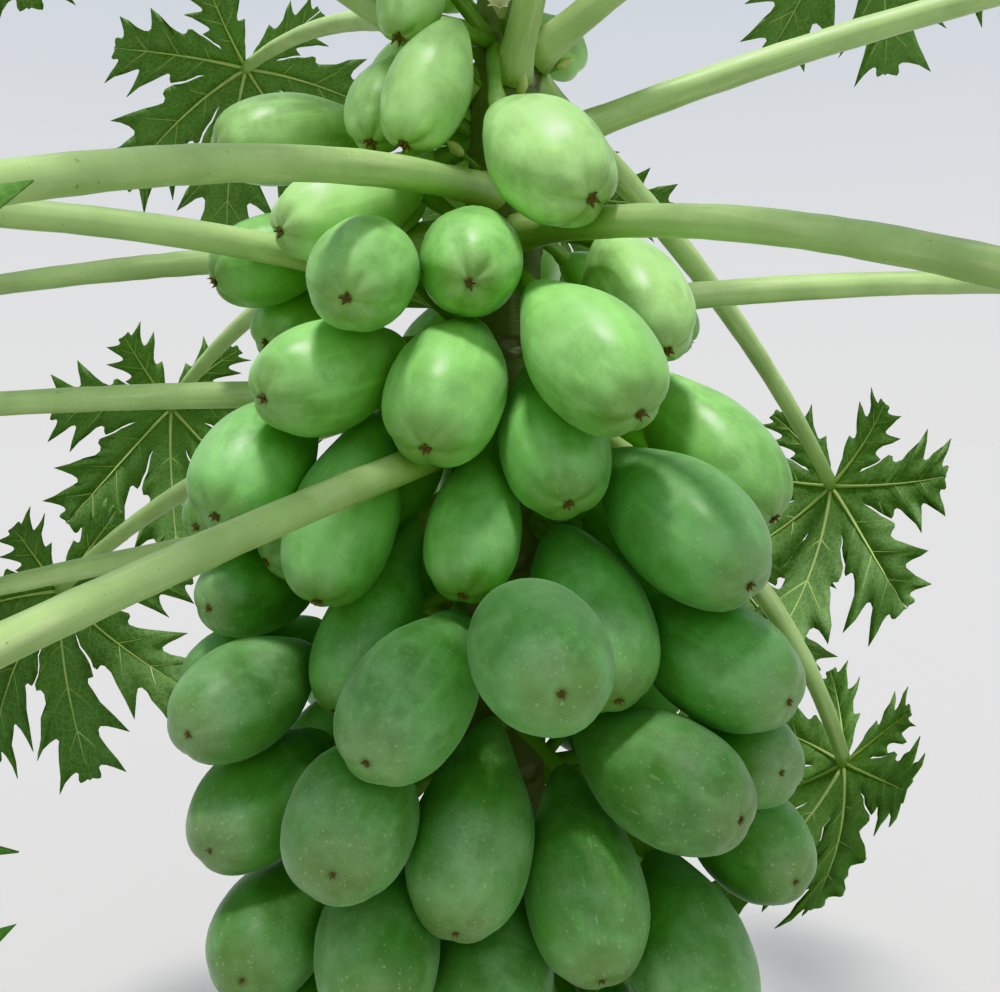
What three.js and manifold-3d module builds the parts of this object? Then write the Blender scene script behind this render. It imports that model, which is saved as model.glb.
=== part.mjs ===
// A papaya tree in full bearing, in millimetres, with +Z up.
// The origin is the middle of the trunk's flat cut at ground level. The side seen in the photograph faces -Y.
// One unbranched trunk carries a thick column of green fruit and, above and between it, long-stalked lobed leaves.
import * as THREE from "three";
import { mergeVertices } from "three/addons/utils/BufferGeometryUtils.js";
import Module from "manifold-3d";

const wasm = await Module();
wasm.setup();

// The trunk: height, radius under the flare and at the tip, and how far the tip leans towards +X.
const TRUNK_HEIGHT = 2070;
const TRUNK_FOOT_RADIUS = 78;
const TRUNK_TIP_RADIUS = 24;
const TRUNK_TAPER_POWER = 1.5;
const TRUNK_LEAN = 34;
const TRUNK_SIDES = 12;
const TRUNK_RINGS = 14;

// The root flare: how far it stands out at the ground, how fast it dies away and how many buttresses it has.
const FLARE_REACH = 34;
const FLARE_HEIGHT = 75;
const FLARE_BUTTRESSES = 5;
const FLARE_WAVE = 0.3;

// Where the photograph was taken from, which places the fruit that it shows: the eye, the dip of the view below
// level, and the focal length and middle of the picture in its own pixels.
const EYE = new THREE.Vector3(15, -1250, 1250);
const DIP = THREE.MathUtils.degToRad(3.05);
const FOCAL_PIXELS = 1050;
const PICTURE_MIDDLE = { u: 500, v: 496 };

// Neighbours keep this gap.
const GAP = 0.3;

// The fruit that the photograph shows, from the top down: where the stalk end and the blossom end of each one are
// seen (u and v, in pixels), how far its stalk end stands out from the middle of the trunk (below zero on its far
// side), its length and greatest width, and its neck, from 0, blunt, to 1, pear-shaped.
const FRUIT_IN_VIEW = [
  // u, v of the stalk end, u, v of the blossom end, reach, length, width, neck
  [425, -55, 398, 38, 100, 125, 72, 0.3],
  [458, 20, 404, 146, 95, 160, 90, 0.2],
  [398, 60, 370, 143, 125, 135, 78, 0.2],
  [498, 116, 603, 213, 95, 190, 112, 0.2],
  [378, 130, 214, 148, -160, 210, 104, 0.3],
  [425, 186, 278, 236, 105, 195, 96, 0.4],
  [477, 234, 466, 287, 105, 170, 102, 0],
  [385, 245, 350, 298, 160, 170, 102, 0],
  [345, 236, 224, 284, 180, 175, 98, 0.3],
  [605, 236, 668, 352, 143, 195, 110, 0.3],
  [352, 296, 264, 338, -185, 170, 94, 0.3],
  [527, 287, 640, 416, 110, 220, 116, 0.5],
  [405, 345, 262, 400, 150, 195, 112, 0.4],
  [478, 322, 427, 450, 115, 205, 118, 0.5],
  [520, 370, 558, 510, 110, 215, 112, 0.6],
  [636, 371, 775, 520, 160, 245, 122, 0.4],
  [484, 421, 466, 590, 105, 215, 98, 1],
  [385, 405, 322, 596, 185, 220, 112, 0.3],
  [312, 412, 226, 526, 220, 205, 116, 0.2],
  [603, 458, 750, 588, 150, 245, 130, 0.3],
  [300, 480, 190, 542, -240, 195, 96, 0.3],
  [412, 515, 327, 712, 120, 240, 102, 0.9],
  [325, 560, 212, 602, -215, 195, 108, 0.3],
  [560, 528, 623, 702, 110, 230, 126, 0.2],
  [507, 600, 562, 694, 150, 235, 120, 0.1],
  [462, 612, 364, 764, 125, 230, 120, 0.4],
  [318, 618, 184, 686, -225, 225, 112, 0.4],
  [320, 652, 194, 738, 225, 220, 114, 0.3],
  [625, 605, 790, 706, 165, 245, 126, 0.4],
  [580, 722, 743, 820, 150, 235, 126, 0.3],
  [690, 728, 782, 772, -225, 195, 108, 0.3],
  [325, 735, 208, 848, 215, 230, 120, 0.3],
  [385, 750, 346, 880, 160, 225, 126, 0.4],
  [488, 715, 440, 936, 120, 245, 124, 0.6],
  [560, 762, 600, 984, 120, 245, 124, 0.6],
  [690, 780, 792, 884, 225, 220, 120, 0.4],
  [315, 865, 250, 984, 220, 220, 120, 0.3],
  [660, 850, 718, 1040, 200, 245, 132, 0.3],
  [380, 860, 372, 1015, 160, 235, 124, 0.3],
  [515, 865, 480, 1065, 110, 245, 126, 0.4],
  [335, 960, 288, 1080, 200, 235, 120, 0.3],
  [615, 985, 640, 1160, 150, 245, 124, 0.4],
];

// The rest of the column follows the tree's own spiral, from the lowest fruit up to the smallest at the tip.
const SPIRAL_ANGLE = 137.508;
const SPIRAL_LOW = 560;
const SPIRAL_TOP = 1990;
const SPIRAL_STEP = 19;
// The spiral is left out where the photograph shows the fruit: [height, how far round to each side].
const VIEW_SIDES = [
  [640, 0],
  [660, 74],
  [1380, 76],
  [1480, 116],
  [1600, 130],
  [1620, 144],
  [1700, 112],
  [1770, 112],
  [1790, 0],
];
// Size and hang of a fruit by its height on the trunk: [height, length, width, degrees out from straight down].
const FRUIT_GROWTH = [
  [560, 238, 120, 34],
  [1300, 232, 118, 46],
  [1560, 190, 102, 60],
  [1760, 125, 72, 72],
  [1900, 70, 42, 84],
  [2000, 42, 25, 96],
];
const FRUIT_SIDES = 7;
const FRUIT_RINGS = [0.1, 0.34, 0.66, 0.91];
// The profile of a blunt fruit and of a pear-shaped one: the share of the length where it is widest, and how slowly
// its shoulders swell from the stalk. The blossom end is broad and round on both.
const FRUIT_WIDEST = [0.54, 0.68];
const FRUIT_SHOULDER = [0.52, 0.85];
const FRUIT_END = 2.3;
// A fruit's stalk end hangs this far out from the trunk's bark where nothing else decides it.
const STALK_REACH = 38;
const STALK_LONGEST = 185;
const STALK_RADIUS = 9;
const STUB_RADIUS = 16;
const STUB_SIDES = 5;
// Fruit whose stalks spring from one leaf axil share a bunch: the most in one, and how far apart they may start.
const BUNCH_MOST = 4;
const BUNCH_SPREAD = 200;
// The column settles by pushing fruit apart, first loose and then tied to their bunches: the rounds of each, the
// room kept between skins, and how far two fruit that touch are moved for each millimetre that they share.
const LOOSE_ROUNDS = 200;
const TIED_ROUNDS = 110;
// Loose fruit start this slim and reach their full girth after this share of the rounds, so that each keeps its
// place among its neighbours.
const YOUNG_GIRTH = 0.35;
const GROWN_AFTER = 0.8;
const SETTLE_ROOM = 2.5;
const SETTLE_PUSH = 0.7;
// A leaf's stalk counts as this many balls, of which the first ones can touch fruit.
const BALLS_PER_STALK = 60;
const BALLS_NEAR_FRUIT = 34;
// A fruit that the photograph shows gives way less than a hidden one, and each round draws it back by this share to
// where it is seen.
const SEEN_YIELD = 0.35;
const DRAWN_BACK = 0.12;

// The leaves from the oldest to the youngest: compass angle (0 towards the photograph's view, positive to its
// right), height of the foot, rise of the stalk there and how far it sags along its length, in degrees, then the
// length of the stalk and the radius of the blade.
const LEAVES = [
  [-98, 1175, -7, 8, 900, 270],
  [-24, 1258, -8, 6, 1000, 285],
  [104, 1310, -20, 52, 700, 250],
  [-117, 1310, -4, 34, 820, 275],
  [-86, 1300, 2, 10, 1010, 290],
  [150, 1340, -6, 30, 860, 285],
  [93, 1392, 9, 14, 960, 290],
  [-63, 1400, 15, 30, 1010, 290],
  [-172, 1430, 6, 26, 880, 300],
  [28, 1488, -3, 23, 960, 290],
  [-97, 1470, 2, 12, 880, 290],
  [-136, 1500, 8, 42, 880, 290],
  [-24, 1535, -4, 20, 1010, 290],
  [84, 1578, 21, 14, 980, 310],
  [174, 1590, 20, 22, 900, 310],
  [125, 1690, -28, 24, 800, 280],
  [-84, 1630, 40, 26, 840, 300],
  [15, 1640, 42, 26, 840, 300],
  [62, 1668, 32, 24, 920, 310],
  [-146, 1700, 30, 30, 880, 310],
  [-14, 1770, 46, 30, 860, 310],
  [-112, 1810, 38, 28, 900, 310],
  [134, 1820, 38, 28, 900, 310],
  [34, 1880, 54, 30, 820, 300],
  [-58, 1900, 54, 28, 820, 300],
  [-168, 1950, 58, 26, 780, 300],
  [92, 1985, 60, 26, 740, 290],
];
const LEAF_STALK_FOOT_RADIUS = 17;
const LEAF_STALK_TIP_RADIUS = 10;
const LEAF_STALK_SIDES = 5;
const LEAF_STALK_STEPS = 5;
// The stalk's last ring stands this far short of the blade, and the blade's ribs run down to it.
const LEAF_NECK = 26;
// The foot of a leaf stalk widens where it clasps the trunk.
const CLASP_REACH = 30;
const CLASP_EXTRA = 9;

// A blade's lobes: the angle of each from the middle one, and its length as a share of the blade's radius.
const LOBES = [
  [-140, 0.55],
  [-92, 0.8],
  [-45, 0.95],
  [0, 1],
  [45, 0.95],
  [92, 0.8],
  [140, 0.55],
];
const BLADE_THICKNESS = 8;
const BLADE_NOD = 48;
const BLADE_SAG = 0.34;
const SINUS_REACH = 0.25;
const BASE_SINUS = { angle: 166, reach: 0.13 };
// Places on a lobe as shares of its length: where the fold of its rib meets its widest part, and half its width.
const RIB_SHARE = 0.45;
const LOBE_SIDE = { along: 0.6, across: 0.2 };

// The youngest leaves stand round the growing tip: [compass angle, rise, sag, stalk length, blade radius].
const YOUNG_LEAVES = [
  [-28, 66, 20, 560, 230],
  [170, 72, 16, 440, 185],
  [50, 80, 8, 280, 110],
];
const BUD_RADIUS = 21;
const BUD_HEIGHT = 74;
const YOUNG_STALK_RADIUS = 8;

const BARK = { color: 0x8a8672, roughness: 0.85, metalness: 0 };
const SKIN = { color: 0x3f8a35, roughness: 0.45, metalness: 0 };
const YOUNG_SKIN = { color: 0x8cc257, roughness: 0.4, metalness: 0 };
const BLADE = { color: 0x3c7c2c, roughness: 0.55, metalness: 0 };

const vector = (x, y, z) => new THREE.Vector3(x, y, z);
const degrees = THREE.MathUtils.degToRad;
const between = THREE.MathUtils.lerp;

// Value of a list of [at, ...values] rows at a place between two of them.
function alongTable(rows, at) {
  const last = rows.length - 1;
  const i = Math.max(1, Math.min(last, rows.findIndex((row) => row[0] >= at) >>> 0));
  const [low, high] = [rows[i - 1], rows[i]];
  const share = THREE.MathUtils.clamp((at - low[0]) / (high[0] - low[0]), 0, 1);
  return low.slice(1).map((value, k) => between(value, high[k + 1], share));
}

// A small seeded random number between -1 and 1.
function wobble(seed) {
  const x = Math.sin(seed * 12.9898) * 43758.5453;
  return 2 * (x - Math.floor(x)) - 1;
}

// Unit vector at a compass angle (0 towards -Y, positive towards +X) and an elevation, both in degrees.
function heading(angle, rise) {
  const [a, e] = [degrees(angle), degrees(rise)];
  return vector(Math.sin(a) * Math.cos(e), -Math.cos(a) * Math.cos(e), Math.sin(e));
}

// The closed skin over rings of points round a line of centres, closed by a point at each end.
function skin(centres, radiusOf, sides, up = vector(0, 0, 1)) {
  const positions = [];
  const faces = [];
  const last = centres.length - 1;
  const first = centres[0];
  positions.push(...first.toArray());
  for (let i = 1; i < last; i++) {
    const along = centres[i + 1].clone().sub(centres[i - 1]).normalize();
    const side = vector().crossVectors(along, up).normalize();
    const top = vector().crossVectors(side, along);
    for (let k = 0; k < sides; k++) {
      const angle = (2 * Math.PI * k) / sides;
      const radius = radiusOf(i, angle);
      const point = centres[i].clone();
      point.addScaledVector(side, radius * Math.cos(angle)).addScaledVector(top, radius * Math.sin(angle));
      positions.push(...point.toArray());
    }
  }
  positions.push(...centres[last].toArray());
  const ring = (i, k) => 1 + (i - 1) * sides + (k % sides);
  const end = 1 + (last - 1) * sides;
  for (let k = 0; k < sides; k++) {
    faces.push(0, ring(1, k), ring(1, k + 1));
    faces.push(end, ring(last - 1, k + 1), ring(last - 1, k));
    for (let i = 1; i < last - 1; i++) {
      faces.push(ring(i, k), ring(i + 1, k), ring(i + 1, k + 1));
      faces.push(ring(i, k), ring(i + 1, k + 1), ring(i, k + 1));
    }
  }
  return { positions, faces };
}

// A closed body as a solid that can be joined and cut.
function solid({ positions, faces }) {
  const mesh = new wasm.Mesh({
    numProp: 3,
    vertProperties: new Float32Array(positions),
    triVerts: new Uint32Array(faces),
  });
  const made = new wasm.Manifold(mesh);
  if (made.volume() > 0) return made;
  const turned = faces.map((_, i) => faces[i - (i % 3) + ((3 - (i % 3)) % 3)]);
  return solid({ positions, faces: turned });
}

// A solid as a named piece with its own finish.
function piece(name, made, finish) {
  const { vertProperties, triVerts } = made.getMesh();
  const geometry = new THREE.BufferGeometry();
  geometry.setAttribute("position", new THREE.BufferAttribute(new Float32Array(vertProperties), 3));
  geometry.setIndex(new THREE.BufferAttribute(new Uint32Array(triVerts), 1));
  const closed = mergeVertices(geometry, 1e-4);
  closed.computeVertexNormals();
  const mesh = new THREE.Mesh(closed, new THREE.MeshStandardMaterial(finish));
  mesh.name = name;
  return mesh;
}

// Middle of the trunk at a height, and its radius there without the flare.
const trunkMiddle = (z) => vector(TRUNK_LEAN * (z / TRUNK_HEIGHT) ** 2, 0, z);
const trunkRadius = (z) => between(TRUNK_FOOT_RADIUS, TRUNK_TIP_RADIUS, (z / TRUNK_HEIGHT) ** TRUNK_TAPER_POWER);

// The trunk from its flat cut to its tip, grown by a little where it is used to cut its neighbours clear.
function trunk(grow = 0) {
  const heights = Array.from({ length: TRUNK_RINGS }, (_, i) => TRUNK_HEIGHT * (i / (TRUNK_RINGS - 1)) ** 1.25);
  const centres = heights.map(trunkMiddle);
  const all = [centres[0], ...centres, centres.at(-1)];
  const top = grow ? trunkMiddle(TRUNK_HEIGHT + grow) : centres.at(-1);
  all[all.length - 1] = top;
  all[all.length - 2] = top;
  const rings = skin(
    all,
    (i, angle) => {
      const z = heights[i - 1];
      const flare = FLARE_REACH * Math.exp(-z / FLARE_HEIGHT);
      return trunkRadius(z) + flare * (1 + FLARE_WAVE * Math.cos(FLARE_BUTTRESSES * angle)) + grow;
    },
    TRUNK_SIDES,
    vector(0, 1, 0),
  );
  // Every ring lies level, so that the foot is one flat cut.
  for (let i = 0; i < heights.length; i++) {
    for (let k = 0; k < TRUNK_SIDES; k++) {
      rings.positions[3 * (1 + i * TRUNK_SIDES + k) + 2] = all[i + 1].z;
    }
  }
  return solid(rings);
}

// The ray from the eye through a pixel of the photograph.
function sightLine(u, v) {
  const ahead = vector(0, Math.cos(DIP), -Math.sin(DIP));
  const up = vector(0, Math.sin(DIP), Math.cos(DIP));
  const across = (u - PICTURE_MIDDLE.u) / FOCAL_PIXELS;
  const above = (PICTURE_MIDDLE.v - v) / FOCAL_PIXELS;
  return ahead.add(vector(across, 0, 0)).addScaledVector(up, above);
}

// Where a sight line comes within reach of the trunk's middle, or leaves it again for a reach below zero. A line
// that stays farther off gives the place where it passes nearest.
function nearTrunk(line, reach) {
  const level = line.x * line.x + line.y * line.y;
  const start = EYE.clone().sub(trunkMiddle(EYE.z));
  const nearest = -(start.x * line.x + start.y * line.y) / level;
  const miss = Math.hypot(start.x + nearest * line.x, start.y + nearest * line.y);
  const back = Math.sqrt(Math.max(0, reach * reach - miss * miss) / level);
  return EYE.clone().addScaledVector(line, nearest - Math.sign(reach) * back);
}

// The nearer point of a sight line that lies a length away from a point, or the closest it comes.
function alongSight(line, from, length) {
  const ahead = line.clone().normalize();
  const offset = EYE.clone().sub(from);
  const middle = -offset.dot(ahead);
  const miss = offset.addScaledVector(ahead, middle).length();
  const back = Math.sqrt(Math.max(0, length * length - miss * miss));
  return EYE.clone().addScaledVector(ahead, middle - back);
}

// A fruit is its stalk end, its blossom end, its length, its width and its neck.
function fruitInView([su, sv, tu, tv, reach, length, width, neck]) {
  const stalkEnd = nearTrunk(sightLine(su, sv), reach);
  const tip = alongSight(sightLine(tu, tv), stalkEnd, length);
  const hang = tip.sub(stalkEnd).normalize();
  const end = stalkEnd.clone().addScaledVector(hang, length);
  const seen = { stalkEnd: stalkEnd.clone(), tip: end.clone() };
  return { stalkEnd, tip: end, length, width, neck, seen };
}

function fruitOnSpiral(height, angle, seed) {
  const [usual, width, out] = alongTable(FRUIT_GROWTH, height);
  const stalkEnd = trunkMiddle(height).addScaledVector(heading(angle, 0), trunkRadius(height) + STALK_REACH);
  const hang = heading(angle + 16 * wobble(seed), out - 90 + 7 * wobble(seed + 0.37));
  const length = usual * (1 + 0.06 * wobble(seed + 0.71));
  return {
    stalkEnd,
    tip: stalkEnd.clone().addScaledVector(hang, length),
    length,
    width: width * (1 + 0.05 * wobble(seed + 0.53)),
    neck: 0.4 + 0.4 * wobble(seed + 0.19),
  };
}

function hangFruit() {
  const all = FRUIT_IN_VIEW.map(fruitInView);
  for (let k = 0; SPIRAL_LOW + k * SPIRAL_STEP < SPIRAL_TOP; k++) {
    const height = SPIRAL_LOW + k * SPIRAL_STEP;
    const angle = ((k * SPIRAL_ANGLE + 180) % 360) - 180;
    if (Math.abs(angle) > alongTable(VIEW_SIDES, height)[0]) all.push(fruitOnSpiral(height, angle, k + 1));
  }
  return all;
}

// Radius of a fruit at a share of its length.
function fruitRadius(f, share) {
  const widest = between(...FRUIT_WIDEST, f.neck);
  const beyond = Math.max(0, share - widest) / (1 - widest);
  const upper = Math.sin((Math.PI / 2) * Math.min(1, share / widest)) ** between(...FRUIT_SHOULDER, f.neck);
  return (f.width / 2) * upper * (1 - beyond ** FRUIT_END) ** (1 / FRUIT_END);
}

// Where the stalks of a bunch fork, just off the bark, and its root in the middle of the trunk.
function forkOf(bunch) {
  const middle = bunch.reduce((sum, f) => sum.add(f.stalkEnd), vector(0, 0, 0)).divideScalar(bunch.length);
  const root = trunkMiddle(middle.z);
  const out = vector(middle.x - root.x, middle.y - root.y, 0).normalize();
  return { root, fork: root.clone().addScaledVector(out, trunkRadius(root.z) + 0.6 * STUB_RADIUS) };
}

// Fruit that start close together on the trunk are gathered into bunches, from the lowest up, as long as no leaf's
// stalk stands between them and their fork.
function gather(fruit) {
  const leafBalls = leafStalkBalls().flat();
  const reached = (fork, f) => {
    const stalk = new THREE.Line3(fork, f.stalkEnd);
    return leafBalls.every(({ at, radius }) => {
      const nearest = stalk.closestPointToPoint(at, true, vector());
      return nearest.distanceTo(at) > radius + STALK_RADIUS;
    });
  };
  const waiting = [...fruit].sort((a, b) => a.stalkEnd.z - b.stalkEnd.z);
  const bunches = [];
  while (waiting.length) {
    const bunch = [waiting.shift()];
    while (bunch.length < BUNCH_MOST) {
      const far = (f) => Math.max(...bunch.map((b) => b.stalkEnd.distanceTo(f.stalkEnd)));
      const fits = waiting.filter((f) => {
        const { fork } = forkOf([...bunch, f]);
        return far(f) < BUNCH_SPREAD && [...bunch, f].every((g) => reached(fork, g));
      });
      if (!fits.length) break;
      const nearest = fits.reduce((a, b) => (far(b) < far(a) ? b : a));
      waiting.splice(waiting.indexOf(nearest), 1);
      bunch.push(nearest);
    }
    bunches.push(bunch);
  }
  for (const bunch of bunches) {
    const place = forkOf(bunch);
    bunch.forEach((f) => Object.assign(f, place));
  }
  return bunches;
}

// Points along a leaf's stalk, which is an arc that leaves the trunk rising and sags on the way.
function leafStalk([angle, height, rise, sag, length], steps) {
  const foot = trunkMiddle(height);
  const bend = degrees(sag) / length;
  const start = degrees(rise);
  return Array.from({ length: steps + 1 }, (_, i) => {
    const s = (length * i) / steps;
    const out = (Math.sin(start) - Math.sin(start - bend * s)) / bend;
    const up = (Math.cos(start - bend * s) - Math.cos(start)) / bend;
    return foot.clone().addScaledVector(heading(angle, 0), out).add(vector(0, 0, up));
  });
}

// Radius of a leaf's stalk at a distance from the trunk's middle.
function leafStalkRadius(s, length) {
  const slim = between(LEAF_STALK_FOOT_RADIUS, LEAF_STALK_TIP_RADIUS, (s / length) ** 1.5);
  return slim + CLASP_EXTRA * Math.exp(-Math.max(0, s - TRUNK_FOOT_RADIUS / 2) / CLASP_REACH);
}

// Balls that stand for the first stretch of each leaf's stalk, where fruit can lie against it.
function leafStalkBalls() {
  return LEAVES.map((leaf) =>
    leafStalk(leaf, BALLS_PER_STALK)
      .map((at, i) => ({ share: 0, at, radius: leafStalkRadius((leaf[4] * i) / BALLS_PER_STALK, leaf[4]) }))
      .slice(0, BALLS_NEAR_FRUIT),
  );
}

// While the column settles, balls stand for each fruit and its stalk. A ball's share runs from -1 at the fork of
// the stalks, by 0 at the fruit's stalk end, to 1 at its blossom end. No ball reaches past that end.
const BALL_SHARES = [-0.8, -0.6, -0.4, -0.2, 0.08, 0.2, 0.32, 0.44, 0.56, 0.67, 0.78, 0.88];

function ballsOf(f, girth) {
  return BALL_SHARES.filter((share) => share > 0 || f.fork).map((share) => ({
    share,
    at: share < 0 ? f.stalkEnd.clone().lerp(f.fork, -share) : f.stalkEnd.clone().lerp(f.tip, share),
    radius: share < 0 ? STALK_RADIUS : girth * Math.min(fruitRadius(f, share), (1 - share) * f.length),
  }));
}

// The two balls, one from each list, that share the most room, and how much that is.
function deepestTouch(some, others) {
  let deepest = { depth: 0 };
  for (const a of some) {
    for (const b of others) {
      if (a.share < 0 && b.share < 0) continue;
      const depth = a.radius + b.radius + SETTLE_ROOM - a.at.distanceTo(b.at);
      if (depth > deepest.depth) deepest = { a, b, depth };
    }
  }
  return deepest;
}

// Moves the place on a fruit where a ball is, and keeps the fruit's length.
function shove(f, ball, move) {
  const share = Math.max(0, ball.share);
  const lever = share * share + (1 - share) * (1 - share);
  f.stalkEnd.addScaledVector(move, (1 - share) / lever);
  f.tip.addScaledVector(move, (ball.share < 0 ? 1 : share) / lever);
  keepLength(f);
}

function keepLength(f) {
  const hang = f.tip.clone().sub(f.stalkEnd);
  const slack = hang.length() - f.length;
  hang.normalize();
  f.stalkEnd.addScaledVector(hang, slack / 2);
  f.tip.addScaledVector(hang, -slack / 2);
}

// Draws a place back across the line of sight to where the photograph shows it, at whatever distance it is.
function drawBack(place, seen) {
  const sight = seen.clone().sub(EYE).normalize();
  const off = seen.clone().sub(place);
  place.addScaledVector(off.addScaledVector(sight, -off.dot(sight)), DRAWN_BACK);
}

function settle(fruit, rounds, startGirth) {
  const stalks = leafStalkBalls();
  for (let round = 0; round < rounds; round++) {
    const girth = between(startGirth, 1, Math.min(1, round / (GROWN_AFTER * rounds)));
    for (let i = 0; i < fruit.length; i++) {
      const f = fruit[i];
      for (let j = i + 1; j < fruit.length; j++) {
        const g = fruit[j];
        if (f.stalkEnd.distanceTo(g.stalkEnd) > f.length + g.length + STALK_LONGEST) continue;
        const { a, b, depth } = deepestTouch(ballsOf(f, girth), ballsOf(g, girth));
        if (!depth) continue;
        const [yieldF, yieldG] = [f, g].map(({ seen }) => (seen ? SEEN_YIELD : 1));
        const move = a.at.clone().sub(b.at).setLength((depth * SETTLE_PUSH) / (yieldF + yieldG));
        shove(f, a, move.clone().multiplyScalar(yieldF));
        shove(g, b, move.multiplyScalar(-yieldG));
      }
      for (const still of stalks) {
        const { a, b, depth } = deepestTouch(ballsOf(f, girth), still);
        if (depth) shove(f, a, a.at.clone().sub(b.at).setLength(depth * SETTLE_PUSH));
      }
      for (const ball of ballsOf(f, girth)) {
        if (ball.share < 0) continue;
        const out = ball.at.clone().sub(trunkMiddle(ball.at.z)).setZ(0);
        const depth = trunkRadius(ball.at.z) + ball.radius + SETTLE_ROOM - out.length();
        if (depth > 0) shove(f, ball, out.setLength(depth));
      }
      if (f.fork) {
        const stalk = f.stalkEnd.clone().sub(f.fork);
        const over = stalk.length() - STALK_LONGEST;
        if (over > 0) shove(f, { share: -1 }, stalk.setLength(-over));
      }
      if (f.seen) {
        drawBack(f.stalkEnd, f.seen.stalkEnd);
        drawBack(f.tip, f.seen.tip);
        keepLength(f);
      }
    }
  }
}

// A fruit and its own stalk in one skin, from the fork to the blossom end.
function fruitSolid(f, grow) {
  const hang = f.tip.clone().sub(f.stalkEnd);
  const along = hang.clone().normalize();
  const stalkRadius = Math.min(STALK_RADIUS, 0.2 * f.width);
  const centres = [f.fork.clone(), f.fork.clone(), f.stalkEnd.clone()];
  const radii = [0, 0.6 * stalkRadius, stalkRadius];
  for (const share of FRUIT_RINGS) {
    centres.push(f.stalkEnd.clone().addScaledVector(hang, share));
    radii.push(fruitRadius(f, share));
  }
  centres.push(f.tip.clone().addScaledVector(along, grow));
  radii.push(0);
  const out = vector(f.stalkEnd.x, f.stalkEnd.y, 0).normalize();
  return solid(skin(centres, (i) => radii[i] + grow, FRUIT_SIDES, out));
}

// The short stub on the trunk that a bunch shares.
function stubSolid({ root, fork }, radius, grow) {
  const out = fork.clone().sub(root).normalize();
  const end = fork.clone().addScaledVector(out, 0.5 * radius + grow);
  return solid(skin([root, root, end, end], () => radius + grow, STUB_SIDES));
}

// One bunch: its stub, and its fruit on their stalks.
function bunchSolid(bunch, grow = 0) {
  const radius = Math.min(STUB_RADIUS, 0.3 * bunch[0].width);
  return bunch.reduce((made, f) => made.add(fruitSolid(f, grow)), stubSolid(bunch[0], radius, grow));
}

// The upper side of a blade in its own frame, lobe by lobe: its stalk joins at the origin, the middle lobe runs
// along +X and the top faces +Z. The hub is the ring of points next to the middle, and the rim its outline.
function bladeTop(radius) {
  const points = [];
  const point = (angle, along, across, lift) => {
    const a = degrees(angle);
    const x = Math.cos(a) * along - Math.sin(a) * across;
    const y = Math.sin(a) * along + Math.cos(a) * across;
    points.push(vector(x, y, lift - BLADE_SAG * (x * x + y * y)).multiplyScalar(radius));
    return points.length - 1;
  };
  const first = point(-BASE_SINUS.angle, BASE_SINUS.reach, 0, 0.02);
  const rim = [first];
  const hub = [first];
  const faces = [];
  LOBES.forEach(([angle, length], i) => {
    const next = LOBES[i + 1];
    const rib = point(angle, RIB_SHARE * length, 0, 0);
    const tip = point(angle, length, 0, 0);
    const [right, left] = [-1, 1].map((side) =>
      point(angle, LOBE_SIDE.along * length, side * LOBE_SIDE.across * length, 0.03),
    );
    const before = rim.at(-1);
    const after = next
      ? point((angle + next[0]) / 2, (SINUS_REACH * (length + next[1])) / 1.8, 0, 0.04)
      : point(BASE_SINUS.angle, BASE_SINUS.reach, 0, 0.02);
    faces.push([rib, before, right], [rib, right, tip], [rib, tip, left], [rib, left, after]);
    rim.push(right, tip, left, after);
    hub.push(rib, after);
  });
  return { points, faces, rim, hub };
}

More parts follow.
